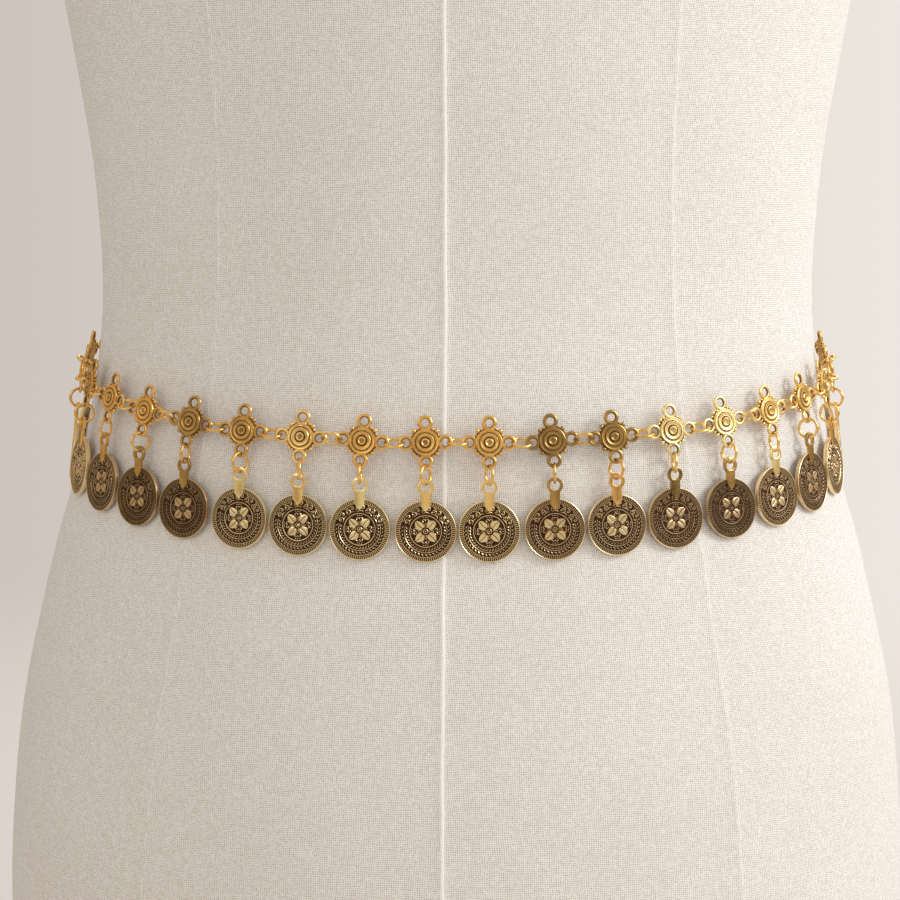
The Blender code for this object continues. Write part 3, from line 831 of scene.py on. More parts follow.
def cover_rows():
    """Rows of the cover: height, inward turn of the edge, share of the way out, welt height."""
    top = FORM_HEIGHT / MM
    heights = list(np.arange(6.0, top - 6.0, ROW_STEP / MM))
    plain = [h for h in heights if all(abs(h - w / MM) > 1.8 for w in WELT_HEIGHTS)]
    sides = [(h, 0.0, 1.0, 0.0) for h in plain]
    sides += [(w / MM + offset, 0.0, 1.0, lift) for w in WELT_HEIGHTS for offset, lift in WELT_SECTION]
    rows = [(*row, 0.0) for row in FOOT_ROWS] + sorted(sides)
    rows += [(top - drop, inward, share, 0.0) for drop, inward, share in NECK_ROWS]
    return [(h * MM, inward * MM, share, lift * MM) for h, inward, share, lift in rows]


def waver(height, seam):
    """Slow wander of a hand-guided seam, between -1 and 1."""
    at = height / MM
    slow = 0.5 * math.sin(at / 9.1 + seam * 2.1) + 0.3 * math.sin(at / 4.3 + seam)
    return slow + 0.2 * math.sin(at / 2.1 + 3.0 * seam)


def seam_at(height, seam):
    """How far a seam stands proud at a height, 0 to 1, its ridge's strength and its sway in mm.

    Every second seam is a princess seam. It is lower, and it fades out under the neck.
    """
    proud = 1.0
    if seam % 2:
        proud = PRINCESS_SHARE * min(max((PRINCESS_END - (height - WAIST_HEIGHT)) / 0.02, 0.0), 1.0)
    return proud, proud * (0.9 + 0.22 * waver(height, seam + 5)), 0.16 * waver(height, seam)


def cover_columns(height):
    """One row's angles, ridge heights, lengths, panel middles, folds and painted crest highlights."""
    seams = seam_angles(height - WAIST_HEIGHT)
    fine = np.linspace(seams[0], seams[-1], ROUND_SAMPLES)
    points = section_points(height, fine)
    steps = np.linalg.norm(np.diff(points, axis=0), axis=1)
    lengths = np.concatenate(([0.0], np.cumsum(steps)))
    seam_lengths = np.interp(seams, fine, lengths)
    before = SEAM_SECTION[:SEAM_MIDDLE]
    after = SEAM_SECTION[SEAM_MIDDLE:]
    columns = []
    for seam in range(SEAM_COUNT):
        proud, strength, sway = seam_at(height, seam)
        start = seam_lengths[seam]
        end = seam_lengths[seam + 1]
        near = min(1.0, (end - start) / MM / 12.0)
        for offset, lift in after:
            pressed = proud if offset < 0.7 else 0.0
            # Share of the painted highlight on the ridge.
            crest_highlight = pressed * (1.0 - max(offset - 0.12, 0.0))
            columns.append((start + (offset + sway) * near * MM, lift * strength * MM,
                            0.6 * pressed, crest_highlight))
        first = columns[-1][0]
        proud, strength, sway = seam_at(height, (seam + 1) % SEAM_COUNT)
        last = end + (before[0][0] + sway) * near * MM
        for step in range(1, PANEL_COLUMNS):
            columns.append((first + (last - first) * step / PANEL_COLUMNS, 0.0, 0.0, 0.0))
        for offset, lift in before:
            pressed = 0.6 * proud if offset > -0.3 else 0.0
            columns.append((end + (offset + sway) * near * MM, lift * strength * MM,
                            pressed, pressed))
    # The first column comes once more at the end, where the cover is sewn up.
    offset, lift = after[0]
    columns.append((seam_lengths[-1] + (offset + sway) * near * MM, lift * strength * MM, 0.6, 1.0))
    columns, lifts, folds, crest_highlights = np.array(columns).T
    middles = (seam_lengths[:-1] + seam_lengths[1:]) / 2
    # Lengths past the last seam carry on round from the first one.
    reach = np.concatenate((lengths, lengths[1:20] + lengths[-1]))
    turns = np.concatenate((fine, fine[1:20] + TURN))
    return np.interp(columns, reach, turns), lifts, columns, middles, folds, crest_highlights


def model_form_cover():
    """Linen cover drawn over the torso: a grid wrapped round it, then sewn up at the back."""
    rows = cover_rows()
    per_panel = len(SEAM_SECTION) + PANEL_COLUMNS - 1
    column_count = per_panel * SEAM_COUNT
    row_count = len(rows) - 1
    places = np.zeros((len(rows), column_count + 1, 3))
    across = np.zeros((len(rows), column_count + 1))
    middles = np.zeros((len(rows), SEAM_COUNT))
    for number, (height, inward, share, welt) in enumerate(rows):
        sampled = min(max(height, 0.0), FORM_HEIGHT)
        angles, lifts, lengths, middle, folds, crest_highlights = cover_columns(sampled)
        centre = np.array((0.0, form_row(sampled)[2]))
        flat = section_points(sampled, angles)
        around = np.roll(flat, -1, axis=0) - np.roll(flat, 1, axis=0)
        around[0] = flat[1] - flat[0]
        around[-1] = flat[-1] - flat[-2]
        out = np.stack((-around[:, 1], around[:, 0]), axis=1)
        out /= np.maximum(np.linalg.norm(out, axis=1), 1e-9)[:, None]
        out *= np.sign((out * (flat - centre)).sum(axis=1))[:, None]
        side = 1.0 if share == 1.0 and inward == 0.0 else 0.0
        flat = flat + out * ((lifts * side) + welt - inward)[:, None]
        places[number, :, :2] = centre + (flat - centre) * share
        places[number, :, 2] = height
        across[number] = lengths
        middles[number] = middle
    rise = np.linalg.norm(np.diff(places, axis=0), axis=2).mean(axis=1)
    climb = np.concatenate(([0.0], np.cumsum(rise)))

    deselect_all()
    bpy.ops.mesh.primitive_grid_add(
        x_subdivisions=column_count, y_subdivisions=row_count, size=1.0, calc_uvs=True,
    )
    cover = name_piece("form_cover")
    mesh = cover.data
    mesh.uv_layers[0].name = "weave"
    flat = np.zeros(len(mesh.vertices) * 3)
    mesh.vertices.foreach_get("co", flat)
    flat = flat.reshape(-1, 3)
    columns = np.rint((flat[:, 0] + 0.5) * column_count).astype(int)
    levels = np.rint((flat[:, 1] + 0.5) * row_count).astype(int)
    corners = np.zeros(len(mesh.loops), dtype=int)
    mesh.loops.foreach_get("vertex_index", corners)
    quads = columns[corners].reshape(-1, 4)
    panels = np.minimum(quads.min(axis=1) // per_panel, SEAM_COUNT - 1)
    panels = np.repeat(panels, 4)
    corner_levels = levels[corners]
    u = across[corner_levels, columns[corners]] - middles[corner_levels, panels]
    v = climb[corner_levels]
    weave = np.stack((u + PANEL_SHIFT * panels, v + PANEL_CLIMB * panels), axis=1)
    end_rows = (corner_levels <= 2) | (corner_levels >= len(rows) - 3)
    caps = np.repeat(end_rows.reshape(-1, 4).all(axis=1), 4)
    spot = places[corner_levels, columns[corners]]
    weave[caps] = spot[caps][:, :2] + CAP_SHIFT
    mesh.uv_layers[0].data.foreach_set("uv", weave.ravel())
    mesh.vertices.foreach_set("co", places[levels, columns].ravel())
    # The top row's values serve all rows. The princess seams have faded out there, so that only the seams
    # at the front, the back and the sides are pressed flat and carry the painted highlight on their
    # ridges.
    set_values(mesh, "fold", folds[columns])
    set_values(mesh, "crest_highlight", crest_highlights[columns])
    mesh.update()
    tidy_shell(cover)
    bpy.ops.object.shade_smooth()
    mesh.materials.clear()
    mesh.materials.append(LINEN)
    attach(cover, FORM_BODY)
    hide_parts("dress_form")


# Metal pieces, each modelled once at the origin


BOSS_SECTION = (
    # reach, height in mm: flat knob with a raised lip, groove, hollow, ridge, groove, dome, rim, back
    (0.0, 1.16), (0.60, 1.16), (0.78, 1.24), (0.96, 1.46), (1.16, 1.54), (1.34, 1.45),
    (1.46, 1.06), (1.62, 0.92), (1.80, 1.02), (1.92, 1.22), (2.30, 1.19), (2.50, 1.26),
    (2.68, 1.37), (2.86, 1.36), (3.00, 1.22), (3.10, 0.98), (3.24, 0.96), (3.36, 1.06),
    (3.75, 0.99), (3.95, 1.00), (4.12, 1.05), (4.28, 0.98), (4.38, 0.74), (4.42, 0.20),
    (4.40, -0.30), (4.25, -0.45), (0.0, -0.45),
)
WEB_SECTION = ((4.1, 0.16), (4.72, 0.14), (4.86, 0.0), (4.86, -0.25), (4.72, -0.42), (4.1, -0.44))
RIDGES = (
    # reach in mm, and how bright the metal is worn there; values above 1 add a painted highlight on the
    # ridges
    (0.0, 0.40), (0.60, 0.36), (0.78, 0.50), (1.15, 1.15), (1.34, 0.85), (1.46, 0.0), (1.68, 0.0),
    (1.84, 0.30), (1.98, 0.70), (2.35, 0.55), (2.60, 0.90), (2.78, 1.15), (2.96, 0.75), (3.10, 0.05),
    (3.24, 0.05), (3.38, 0.58), (3.80, 0.52), (4.05, 0.95), (4.20, 1.15), (4.34, 0.80), (4.44, 0.0),
)
# Values above 1 at the loops' outer edges are a painted highlight, on top of the wear.
LOOP_WEAR_AND_HIGHLIGHT = ((1.28, 0.15), (1.50, 0.42), (1.90, 0.66), (2.30, 0.85), (2.58, 1.15))


LOOP_RADIUS = 1.92
LOOP_WIRE = 0.63
GRANULES = (
    # degrees from the gap between two loops, reach and radius in mm
    (0.0, 5.20, 0.76), (14.5, 4.86, 0.48), (-14.5, 4.86, 0.48),
)


def medallion_relief(point):
    reach = math.hypot(point.x, point.y)
    far = LOOP_REACH / MM
    from_loop = min(
        math.hypot(abs(point.x) - far, point.y), math.hypot(point.x, abs(point.y) - far),
    )
    if from_loop < 2.62:
        return look_up(LOOP_WEAR_AND_HIGHLIGHT, from_loop)
    if reach > 5.0:
        return 1.0
    if reach > 4.35:
        return 0.0 if point.z < 0.30 else 0.75
    if point.z < -0.40:
        return 0.6
    return look_up(RIDGES, reach)


def model_medallion():
    """Ringed dome with a web, four loops and three granules in each gap between them."""
    pieces = [turned("boss", BOSS_SECTION, 44), turned("web", (*WEB_SECTION, WEB_SECTION[0]), 44)]
    for quarter in range(4):
        facing = quarter * math.pi / 2
        deselect_all()
        bpy.ops.mesh.primitive_torus_add(
            major_radius=LOOP_RADIUS * MM, minor_radius=LOOP_WIRE * MM,
            major_segments=30, minor_segments=10,
            location=(LOOP_REACH * math.cos(facing), LOOP_REACH * math.sin(facing), 0.0),
        )
        loop = name_piece("loop")
        loop.scale.z = 0.80
        pieces.append(settle(loop))
        for offset, reach, size in GRANULES:
            turn = facing + math.pi / 4 + math.radians(offset)
            centre = (reach * math.cos(turn), reach * math.sin(turn), 0.02)
            pieces.append(bead("granule", centre, size, 0.85, 12, 7))
    medallion = smooth(join_all("medallion_pattern", pieces))
    set_relief(medallion, medallion_relief)
    medallion.data.materials.append(WARM_GOLD)
    return medallion


def model_ring(name, stretch=0.0, wire=0.50, inner=2.62, cut=2.4):
    """Jump ring: a turn of round wire whose two ends nearly meet, drawn long by the stretch."""
    deselect_all()
    bpy.ops.mesh.primitive_circle_add(
        vertices=10, radius=wire * MM, fill_type="NGON", location=((inner + wire) * MM, 0.0, 0.0),
        rotation=(math.pi / 2, 0.0, 0.0),
    )
    item = settle(name_piece(name))
    edit_whole(item)
    sweep = TURN - math.radians(cut)
    bpy.ops.mesh.spin(steps=44, angle=sweep, center=(0, 0, 0), axis=(0, 0, 1))
    bpy.ops.mesh.select_all(action="SELECT")
    bpy.ops.mesh.normals_make_consistent(inside=False)
    bpy.ops.object.mode_set(mode="OBJECT")
    item.data.transform(Matrix.Rotation(math.pi / 2 + math.radians(18.0), 4, "Z"))
    for point in item.data.vertices:
        point.co.x += math.copysign(stretch, point.co.x)
    smooth(item)
    set_relief(item, lambda point: 1.0)
    item.data.materials.append(WARM_GOLD)
    return item


COIN_SECTION = (
    # reach, height in mm: field, inner circle, band, outer circle, reeding bed, rim, side, back
    (0.0, 0.40), (4.90, 0.40), (5.02, 0.62), (5.22, 0.64), (5.34, 0.40), (8.28, 0.40),
    (8.36, 0.58), (8.52, 0.58), (8.60, 0.34), (9.62, 0.34), (9.68, 0.70), (9.80, 0.78),
    (9.93, 0.70), (10.0, 0.48), (10.0, -0.52), (9.90, -0.68), (9.62, -0.70), (9.45, -0.54),
    (5.6, -0.50), (5.4, -0.62), (5.2, -0.62), (5.0, -0.50), (0.0, -0.50),
)
FACE_LOW = 0.40
FACE_HIGH = 0.56
REED_COUNT = 90
LAUREL_STEP = math.radians(9.2)
LAUREL_LEAVES = 23
SCROLL_STEP = math.radians(29.0)
SCROLL_COUNT = 5
RIB_REACH = 9.12
LINE_LEVEL = 0.50
SEED_LEVEL = 0.46
# Painted highlight: paler than worn gold, on the coin's rim and its middle leaves.
SHINE_HIGHLIGHT = 1.15


def coin_relief(point):
    """Gold on what stands up from the coin's face, dark in its field, plain gold with a painted highlight
    round its edge and on the middle leaves.
    """
    reach = math.hypot(point.x, point.y)
    if reach > 9.64:
        return SHINE_HIGHLIGHT
    if point.z < 0.0:
        return 0.8 if point.z < -0.53 else 0.5
    if reach < 4.8 and point.z > 0.59:
        return SHINE_HIGHLIGHT
    worn = min(max((point.z - FACE_LOW) / (FACE_HIGH - FACE_LOW), 0.0), 1.0)
    return worn * (0.78 if reach > 8.6 else 1.0)


def seed(x, y, radius, level=SEED_LEVEL, squash=0.9):
    return bead("seed", (x, y, level), radius, squash, 6, 4)


def repeated(item, step, count):
    """Repeat a shape at equal steps round Z, the row middle where the shape is."""
    middle = (count - 1) / 2
    shapes = [item]
    for number in range(1, count):
        shapes.append(add_object(item.name, item.data.copy()))
        shapes[-1].data.transform(Matrix.Rotation(step * (number - middle), 4, "Z"))
    item.data.transform(Matrix.Rotation(-step * middle, 4, "Z"))
    return join_all(item.name, shapes)


def model_reeding():
    """Fine ribs round the coin's edge."""
    deselect_all()
    bpy.ops.mesh.primitive_cube_add(
        size=1.0, location=(RIB_REACH * MM, 0.0, 0.48 * MM),
        scale=(1.0 * MM, 0.31 * MM, 0.34 * MM),
    )
    rib = settle(name_piece("rib"))
    for point in rib.data.vertices:
        if point.co.z > 0.5 * MM:
            point.co.y *= 0.72
            point.co.x += math.copysign(0.05 * MM, RIB_REACH * MM - point.co.x)
    return spun_copies(rib, REED_COUNT)


def model_laurel():
    """Leafy wreath round the lower part of the coin's band."""
    shapes = [
        leaf((7.55, 0.12), 62.0, 1.45, 0.62),
        leaf((6.22, 0.12), 118.0, 1.35, 0.58),
        seed(8.08, 0.62, 0.17, squash=1.0),
        seed(5.72, 0.42, 0.15, squash=1.0),
    ]
    wreath = repeated(join_all("laurel", shapes), LAUREL_STEP, LAUREL_LEAVES)
    span = math.degrees(LAUREL_STEP) * LAUREL_LEAVES / 2
    stem = stroke("stem", arc((0.0, 0.0), 6.88, -span, span, 48), 0.26, LINE_LEVEL, 0.8)
    wreath = join_all("laurel", [wreath, stem])
    wreath.data.transform(Matrix.Rotation(math.pi, 4, "Z"))
    return wreath


def model_scrolls():
    """Curled tendrils either side of the tab, over the upper part of the coin's band."""
    tendrils = (
        (arc((6.72, 0.62), 0.86, -170, 150, 10, 0.5), 0.30),
        (arc((7.18, -0.95), 0.80, 60, -230, 9, 0.5), 0.30),
        ([(5.72, -1.30), (6.12, -0.62), (6.02, 0.20), (5.74, 1.05)], 0.26),
        ([(8.05, -0.20), (7.78, 0.35), (7.85, 1.0), (8.1, 1.45)], 0.26),
    )
    shapes = [stroke("tendril", points, width, LINE_LEVEL) for points, width in tendrils]
    shapes += [
        leaf((6.05, -1.95), 40.0, 1.0, 0.46),
        seed(6.66, 0.62, 0.24, 0.48),
        seed(7.22, -0.95, 0.22, 0.48),
    ]
    return repeated(join_all("scrolls", shapes), SCROLL_STEP, SCROLL_COUNT)


def blade(name, base, tip, width, bend):
    """Broad polished leaf in mm: two halves either side of a fine groove."""
    base, tip = Vector(base), Vector(tip)
    axis = tip - base
    across = Vector((-axis.y, axis.x)).normalized()
    halves = []
    for side in (1.0, -1.0):
        inner = []
        outer = []
        for part in (0.0, 0.14, 0.32, 0.52, 0.72, 0.88, 1.0):
            middle = base + axis * part + across * bend * math.sin(math.pi * part)
            swell = math.sin(math.pi * (0.06 + 0.94 * part) ** 0.85) ** 0.8
            inner.append(middle + across * side * 0.11)
            outer.append(middle + across * side * (0.22 + (width / 2 - 0.22) * swell))
        outline = [(point.x, point.y) for point in inner + outer[::-1]]
        halves.append(plate(name, [outline], 0.34, 0.06))
    return join_all(name, halves)


def model_quatrefoil():
    """Four broad polished leaves set crosswise in the coin's middle, with curls between them."""
    leaves = []
    fine = []
    for quarter in range(4):
        facing = math.radians(45.0 + 90.0 * quarter)
        ahead = Vector((math.cos(facing), math.sin(facing)))
        leaves.append(blade("leaf", ahead * 1.35, ahead * 4.55, 2.75, 0.22))
        turn = math.pi / 2 * quarter
        east = Vector((math.cos(turn), math.sin(turn)))
        north = Vector((-east.y, east.x))
        for side in (1.0, -1.0):
            middle = east * 3.35 + north * side * 0.62
            start = math.degrees(turn) - side * 90.0
            curl = arc((middle.x, middle.y), 0.60, start, start + side * 300.0, 8, 0.5)
            fine.append(stroke("curl", curl, 0.25, LINE_LEVEL))
            stem = [east * reach + north * side * aside
                    for reach, aside in ((1.1, 0.18), (1.9, 0.30), (2.7, 0.16))]
            fine.append(stroke("stem", [(point.x, point.y) for point in stem], 0.25, LINE_LEVEL))
            for reach in (4.45, 2.15):
                spot = east * reach + north * side * 0.72
                fine.append(seed(spot.x, spot.y, 0.20))
        tip = east * 4.45
        fine.append(seed(tip.x, tip.y, 0.24))
    fine.append(stroke("eye", arc((0.0, 0.0), 0.72, 0, 345, 13), 0.24, LINE_LEVEL, 1.0))
    fine.append(bead("heart", (0.0, 0.0, 0.48), 0.30, 0.9, 8, 5))
    leaves = join_all("quatrefoil", leaves)
    leaves.data.transform(Matrix.Translation((0.0, 0.0, 0.44 * MM)))
    return join_all("quatrefoil", [leaves, join_all("curls", fine)])


def model_bail():
    """Stamped hanging loop and pointed tab, in the coin's own frame with the hinge at 0."""
    centre_y = -BAIL_MIDDLE / MM
    outline = arc((0.0, centre_y), 2.66, -52.0, 232.0, 31)
    outline += [(-1.62, centre_y - 2.75), (-1.66, -8.1), (-0.15, -9.95), (0.15, -9.95)]
    outline += [(1.66, -8.1), (1.62, centre_y - 2.75)]
    hole = arc((0.0, centre_y), 1.66, 0, 345, 24)
    return plate("bail", [outline, hole], 1.0, 0.15)


def model_coin():
    disc = turned("disc", COIN_SECTION, 80)
    face = join_all("face", [disc, model_reeding(), model_laurel(), model_scrolls(), model_quatrefoil()])
    face.data.transform(Matrix.Rotation(math.radians(90.0), 4, "Z"))
    set_relief(face, coin_relief)
    face.data.transform(Matrix.Translation((0.0, -COIN_DROP, -COIN_SET_BACK)))
    bail = model_bail()
    # Above 1: the tab is painted paler, a painted highlight and reflection on its flat face.
    set_relief(bail, lambda point: 1.18)
    face.data.materials.append(COIN_GOLD)
    bail.data.materials.append(WARM_GOLD)
    coin = join_all("coin_pattern", [face, bail])
    return smooth(coin, 32.0)


# Extender chain and clasp at the back


def back_layout():
    """Path lengths of the extender links and of the clasp, and how far the links stretch."""
    start = UNIT_DISTANCES[-1] + LOOP_REACH + OWN_LOOP_TO_RING
    end = BAND_GIRTH + UNIT_DISTANCES[0] - LOOP_REACH - NEXT_LOOP_TO_RING
    eye_to_ring = CLASP_EYE_HOLE + JOIN_DEPTH + RING_INNER
    claw = end - eye_to_ring - CLASP_EYE_REACH
    free = claw - start - (RING_INNER - SEAM_GAP) - (CLASP_HOLE - SEAM_GAP)
    link_inner = (free - JOIN_DEPTH * (EXTENDER_LINKS - 1)) / (2 * EXTENDER_LINKS)
    first = start + RING_INNER - SEAM_GAP + link_inner
    pitch = 2 * link_inner + JOIN_DEPTH
    links = [first + pitch * number for number in range(EXTENDER_LINKS)]
    return links, claw, link_inner - RING_INNER


def clasp_outline():
    """Outline in mm of a trigger clasp: a hook that is open at the top, and its eye."""
    hole_x, hole_y = CLASP_HOLE / MM, CLASP_HOLE_HEIGHT / MM
    wall = CLASP_WALL / MM
    start, end = LEVER_START / MM, LEVER_END / MM
    outside = []
    for step in range(13):
        turn = math.radians(112.0 + 158.0 * step / 12)
        outside.append(((hole_x + wall) * math.cos(turn), (hole_y + wall) * math.sin(turn)))
    eye_x = CLASP_EYE_REACH / MM
    eye = CLASP_EYE_OUTER / MM
    outside += [(2.2, -hole_y - wall + 0.15), (4.1, -2.15), (5.1, -1.75)]
    outside += arc((eye_x, 0.0), eye, -130, 130, 15)
    outside += [(5.1, 1.95), (4.2, 2.7), (3.0, hole_y + wall - 0.05), (end, hole_y + wall)]
    inside = [(end, hole_y), (hole_x - 0.35, hole_y - 0.45), (hole_x, 0.4), (hole_x, -0.4)]
    inside += [(hole_x - 0.4, -hole_y + 0.5), (1.0, -hole_y), (-1.0, -hole_y)]
    inside += [(0.4 - hole_x, -hole_y + 0.5), (-hole_x, -0.4), (-hole_x, 0.4)]
    inside += [(0.35 - hole_x, hole_y - 0.45), (start, hole_y)]
    return outside + inside


def lever_outline():
    """Outline in mm of the bar that shuts the hook, with a thumb nub."""
    gap = SEAM_GAP / MM
    start, end = LEVER_START / MM + gap, LEVER_END / MM - gap
    foot = CLASP_HOLE_HEIGHT / MM + 0.1
    top = (CLASP_HOLE_HEIGHT + CLASP_WALL) / MM
    outline = [(start, foot), (end, foot), (end, top + 0.55), (end - 0.25, top + 0.9)]
    return outline + [(end - 0.75, top + 0.85), (end - 1.1, top + 0.15), (end - 1.5, top), (start, top)]


EXTENDER_SHADE = 0.3
CLASP_SHADE = 0.2
PIN_SECTION = (
    (0.0, 0.92), (0.42, 0.90), (0.62, 0.78), (0.62, -0.78), (0.42, -0.90), (0.0, -0.92),
)


def clasp_ring_place(clasp_place, end_loop):
    """Frame of the ring between the clasp's eye and the band's end loop."""
    eye = clasp_place @ Vector((CLASP_EYE_REACH, 0.0, 0.0))
    along = (end_loop - eye).normalized()
    outward = Vector(clasp_place.col[2][:3])
    outward = (outward - along * outward.dot(along)).normalized()
    axis = outward.cross(along)
    centre = end_loop - along * NEXT_LOOP_TO_RING
    return axes_matrix(along, axis.cross(along), axis, centre)


def make_back(first_medallion, ring):
    """Extender chain, with every second link lying flat, and the clasp that ends it."""
    links, claw, stretch = back_layout()
    link = model_ring("extender_pattern", stretch, 0.45, 2.66, 1.2)
    lying = Matrix.Rotation(math.pi / 2, 4, "X")
    chain = []
    for number, at in enumerate(links):
        place = band_frame(at)
        if number % 2:
            place = place @ lying
        chain.append(add_object("link", link.data.copy()))
        chain[-1].data.transform(place)
    extender = join_all("extender_links", chain)
    set_values(extender.data, "plating_and_reflection", [EXTENDER_SHADE] * len(extender.data.vertices))
    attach(extender, FORM_BODY)
    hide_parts("extender_chain")
    discard(link)

    claw_place = band_frame(claw)
    eye_hole = arc((CLASP_EYE_REACH / MM, 0.0), CLASP_EYE_HOLE / MM, 0, 342, 20)
    body = plate("clasp_pattern", [clasp_outline(), eye_hole], 1.5, 0.42)
    pin = turned("pin", PIN_SECTION, 20)
    pin.data.transform(Matrix.Translation((2.55 * MM, 2.35 * MM, 0.0)))
    body = smooth(join_all("clasp_pattern", [body, pin]))
    lever = smooth(plate("lever_pattern", [lever_outline()], 1.2, 0.3))
    for item in (body, lever):
        set_relief(item, lambda point: 0.95)
        item.data.materials.append(WARM_GOLD)
    place_copy(body, "clasp_hook", claw_place, CLASP_SHADE, FORM_BODY, "warm_gold", "clasp_body")
    place_copy(lever, "clasp_thumb_lever", claw_place, CLASP_SHADE, FORM_BODY, "warm_gold",
               "clasp_lever")
    ring_place = clasp_ring_place(claw_place, loop_point(first_medallion, -1))
    place_copy(ring, "clasp_ring", ring_place, CLASP_SHADE, FORM_BODY, "warm_gold")
    discard(body, lever)


def make_chain():
    units = lay_out_units()
    medallion = model_medallion()
    ring = model_ring("ring_pattern")
    coin = model_coin()
    for index, unit in enumerate(units):
        label = f"{index + 1:02d}"
        shade = MEDALLION_SHADES[index]
        # The rings follow the medallion's shade, painted reflection included.
        ring_shade = 0.25 + 0.4 * shade
        place_copy(medallion, f"medallion_cast_{label}", unit["medallion"], shade, FORM_BODY,
                   "warm_gold", f"medallion_{label}")
        place_copy(ring, f"link_ring_{label}", unit["link_ring"], ring_shade, FORM_BODY, "warm_gold")
        place_copy(ring, f"drop_ring_{label}", unit["drop_ring"], ring_shade, FORM_BODY, "warm_gold")
        place_copy(coin, f"coin_struck_{label}", unit["coin"], COIN_SHADES[index], f"coin_{label}",
                   "aged_gold", f"coin_{label}", tab_shade=TAB_SHADES[index])
    make_back(units[0]["medallion"], ring)
    discard(medallion, ring, coin)


# Studio


CAMERA_AIM = (-0.00235, 0.0, 0.2332)
CAMERA_DISTANCE = 1.1
CAMERA_RISE = math.radians(5.0)
CAMERA_LENS = 123.72
LIGHT_TARGET = (0.0, 0.0, 0.27)
LIGHTS = (
    # name, place, width and height, watts, colour
    ("window", (1.30, -0.50, 0.98), (0.42, 0.48), 9.6, (0.94, 0.98, 1.0)),
    ("front_fill", (-1.0, -1.5, 0.9), (0.9, 0.9), 3.2, (1.0, 0.95, 0.88)),
    ("back_fill", (0.3, 1.7, 1.1), (1.4, 1.0), 9.0, (1.0, 0.97, 0.94)),
)
# Backdrop colours from left to right: a painted falloff of the light from the right.
BACKDROP = ((0.0, 0.610, 0.555, 0.505), (0.5, 0.725, 0.680, 0.640), (1.0, 0.850, 0.795, 0.745))
CLOTH_TINTS = ((0.55, 1.0, 0.955, 0.90), (1.0, 0.985, 0.99, 0.99))
METAL_TINTS = ((0.0, 0.90, 0.62, 0.36), (0.45, 0.96, 0.74, 0.47), (1.0, 1.0, 0.98, 0.92))


def make_floor():
    """Round pale floor that fades out into the backdrop's colour."""
    deselect_all()
    bpy.ops.mesh.primitive_circle_add(vertices=96, radius=2.2, fill_type="NGON")
    floor = name_piece("studio_floor")
    material, tree, shader = new_material("studio_floor")
    feed(tree, shader.inputs["Base Color"], (0.66, 0.62, 0.585))
    feed(tree, shader.inputs["Roughness"], 0.9)
    place = add_node(tree, "ShaderNodeTexCoord").outputs["Object"]
    reach = add_node(tree, "ShaderNodeVectorMath", {"operation": "LENGTH"}, i0=place).outputs["Value"]
    feed(tree, shader.inputs["Alpha"], mapped(tree, reach, 0.35, 1.6, 1.0, 0.0))
    floor.data.materials.append(material)


def add_light(name, place, size, watts, colour):
    """Rectangular lamp that faces the object."""
    light = bpy.data.lights.new(name, "AREA")
    light.shape = "RECTANGLE"
    light.size, light.size_y = size
    light.energy = watts
    light.color = colour
    item = add_object(name, light)
    item.location = place
    facing = Vector(LIGHT_TARGET) - Vector(place)
    item.rotation_euler = facing.to_track_quat("-Z", "Y").to_euler()


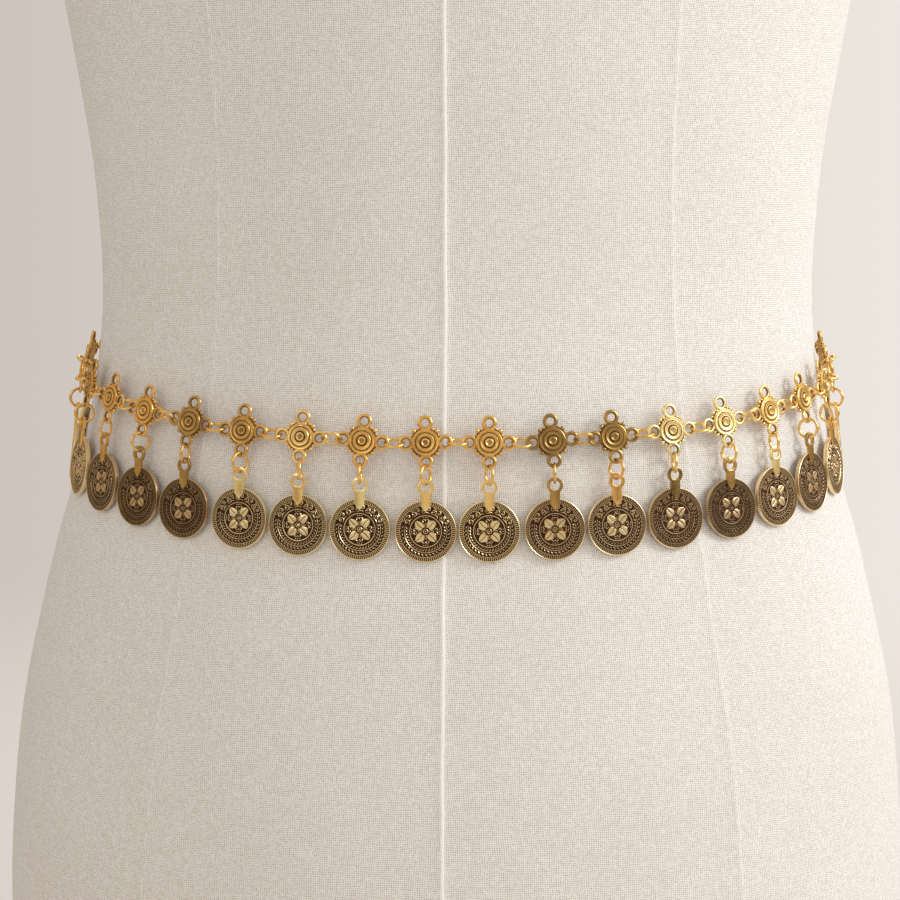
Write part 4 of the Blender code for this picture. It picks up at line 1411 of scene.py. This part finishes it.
def make_world():
    """Pale studio round the object: a bright side to the right, warm and dim elsewhere.

    The camera sees a backdrop painted darker to the left and paler to the right, a painted falloff of the
    light from the right; the cloth takes soft light, and the metal mirrors a room.
    """
    world = bpy.data.worlds.new("studio")
    bpy.context.scene.world = world
    world.use_nodes = True
    tree = world.node_tree
    tree.nodes.clear()
    direction = add_node(tree, "ShaderNodeTexCoord").outputs["Generated"]
    east, north, up = add_node(tree, "ShaderNodeSeparateXYZ", i0=direction).outputs
    # Painted light: the backdrop darkens to the left, as a wall lit from the right would.
    across = mapped(tree, east, -0.14, 0.14, kind="LINEAR")
    seen = add_node(tree, "ShaderNodeBackground", Color=ramp(tree, across, BACKDROP), Strength=1.0)

    soft = math_node(tree, "ADD", mapped(tree, east, -0.4, 1.0, 0.0, 0.58), 0.615)
    cloth_tint = ramp(tree, soft, CLOTH_TINTS)
    cloth_light = add_node(tree, "ShaderNodeBackground", Color=cloth_tint, Strength=soft)

    window = mapped(tree, east, 0.40, 0.85, 0.0, 1.7)
    raised = math_node(tree, "ADD", mapped(tree, up, 0.06, 0.32, 0.0, 0.85), 0.15)
    window = math_node(tree, "MULTIPLY", window, raised)
    behind = mapped(tree, north, -0.80, -0.995, 0.0, 0.50)
    left = mapped(tree, east, -0.55, -0.95, 0.0, 0.40)
    above = mapped(tree, up, 0.15, 0.75, 0.0, 0.50)
    total = math_node(tree, "ADD", window, 0.20)
    for part in (behind, left, above):
        total = math_node(tree, "ADD", total, part)
    warmth = ramp(tree, math_node(tree, "MULTIPLY", total, 0.6), METAL_TINTS)
    mirrored = add_node(tree, "ShaderNodeBackground", Color=warmth, Strength=total)
    ray = add_node(tree, "ShaderNodeLightPath")
    shown = add_node(tree, "ShaderNodeMixShader", i0=ray.outputs["Is Glossy Ray"],
                     i1=cloth_light.outputs[0], i2=mirrored.outputs[0])
    mixed = add_node(tree, "ShaderNodeMixShader", i0=ray.outputs["Is Camera Ray"],
                     i1=shown.outputs[0], i2=seen.outputs[0])
    add_node(tree, "ShaderNodeOutputWorld", Surface=mixed.outputs[0])


def make_studio():
    make_floor()
    make_world()
    for light in LIGHTS:
        add_light(*light)
    scene = bpy.context.scene
    scene.view_settings.view_transform = "Standard"
    camera = bpy.data.cameras.new("camera")
    camera.sensor_width = 36.0
    camera.lens = CAMERA_LENS
    camera.clip_start = 0.05
    item = add_object("camera", camera)
    back_off = Vector((0.0, -math.cos(CAMERA_RISE), math.sin(CAMERA_RISE)))
    item.location = Vector(CAMERA_AIM) + CAMERA_DISTANCE * back_off
    item.rotation_euler = (-back_off).to_track_quat("-Z", "Y").to_euler()
    scene.camera = item


model_form_cover()
make_chain()
make_studio()
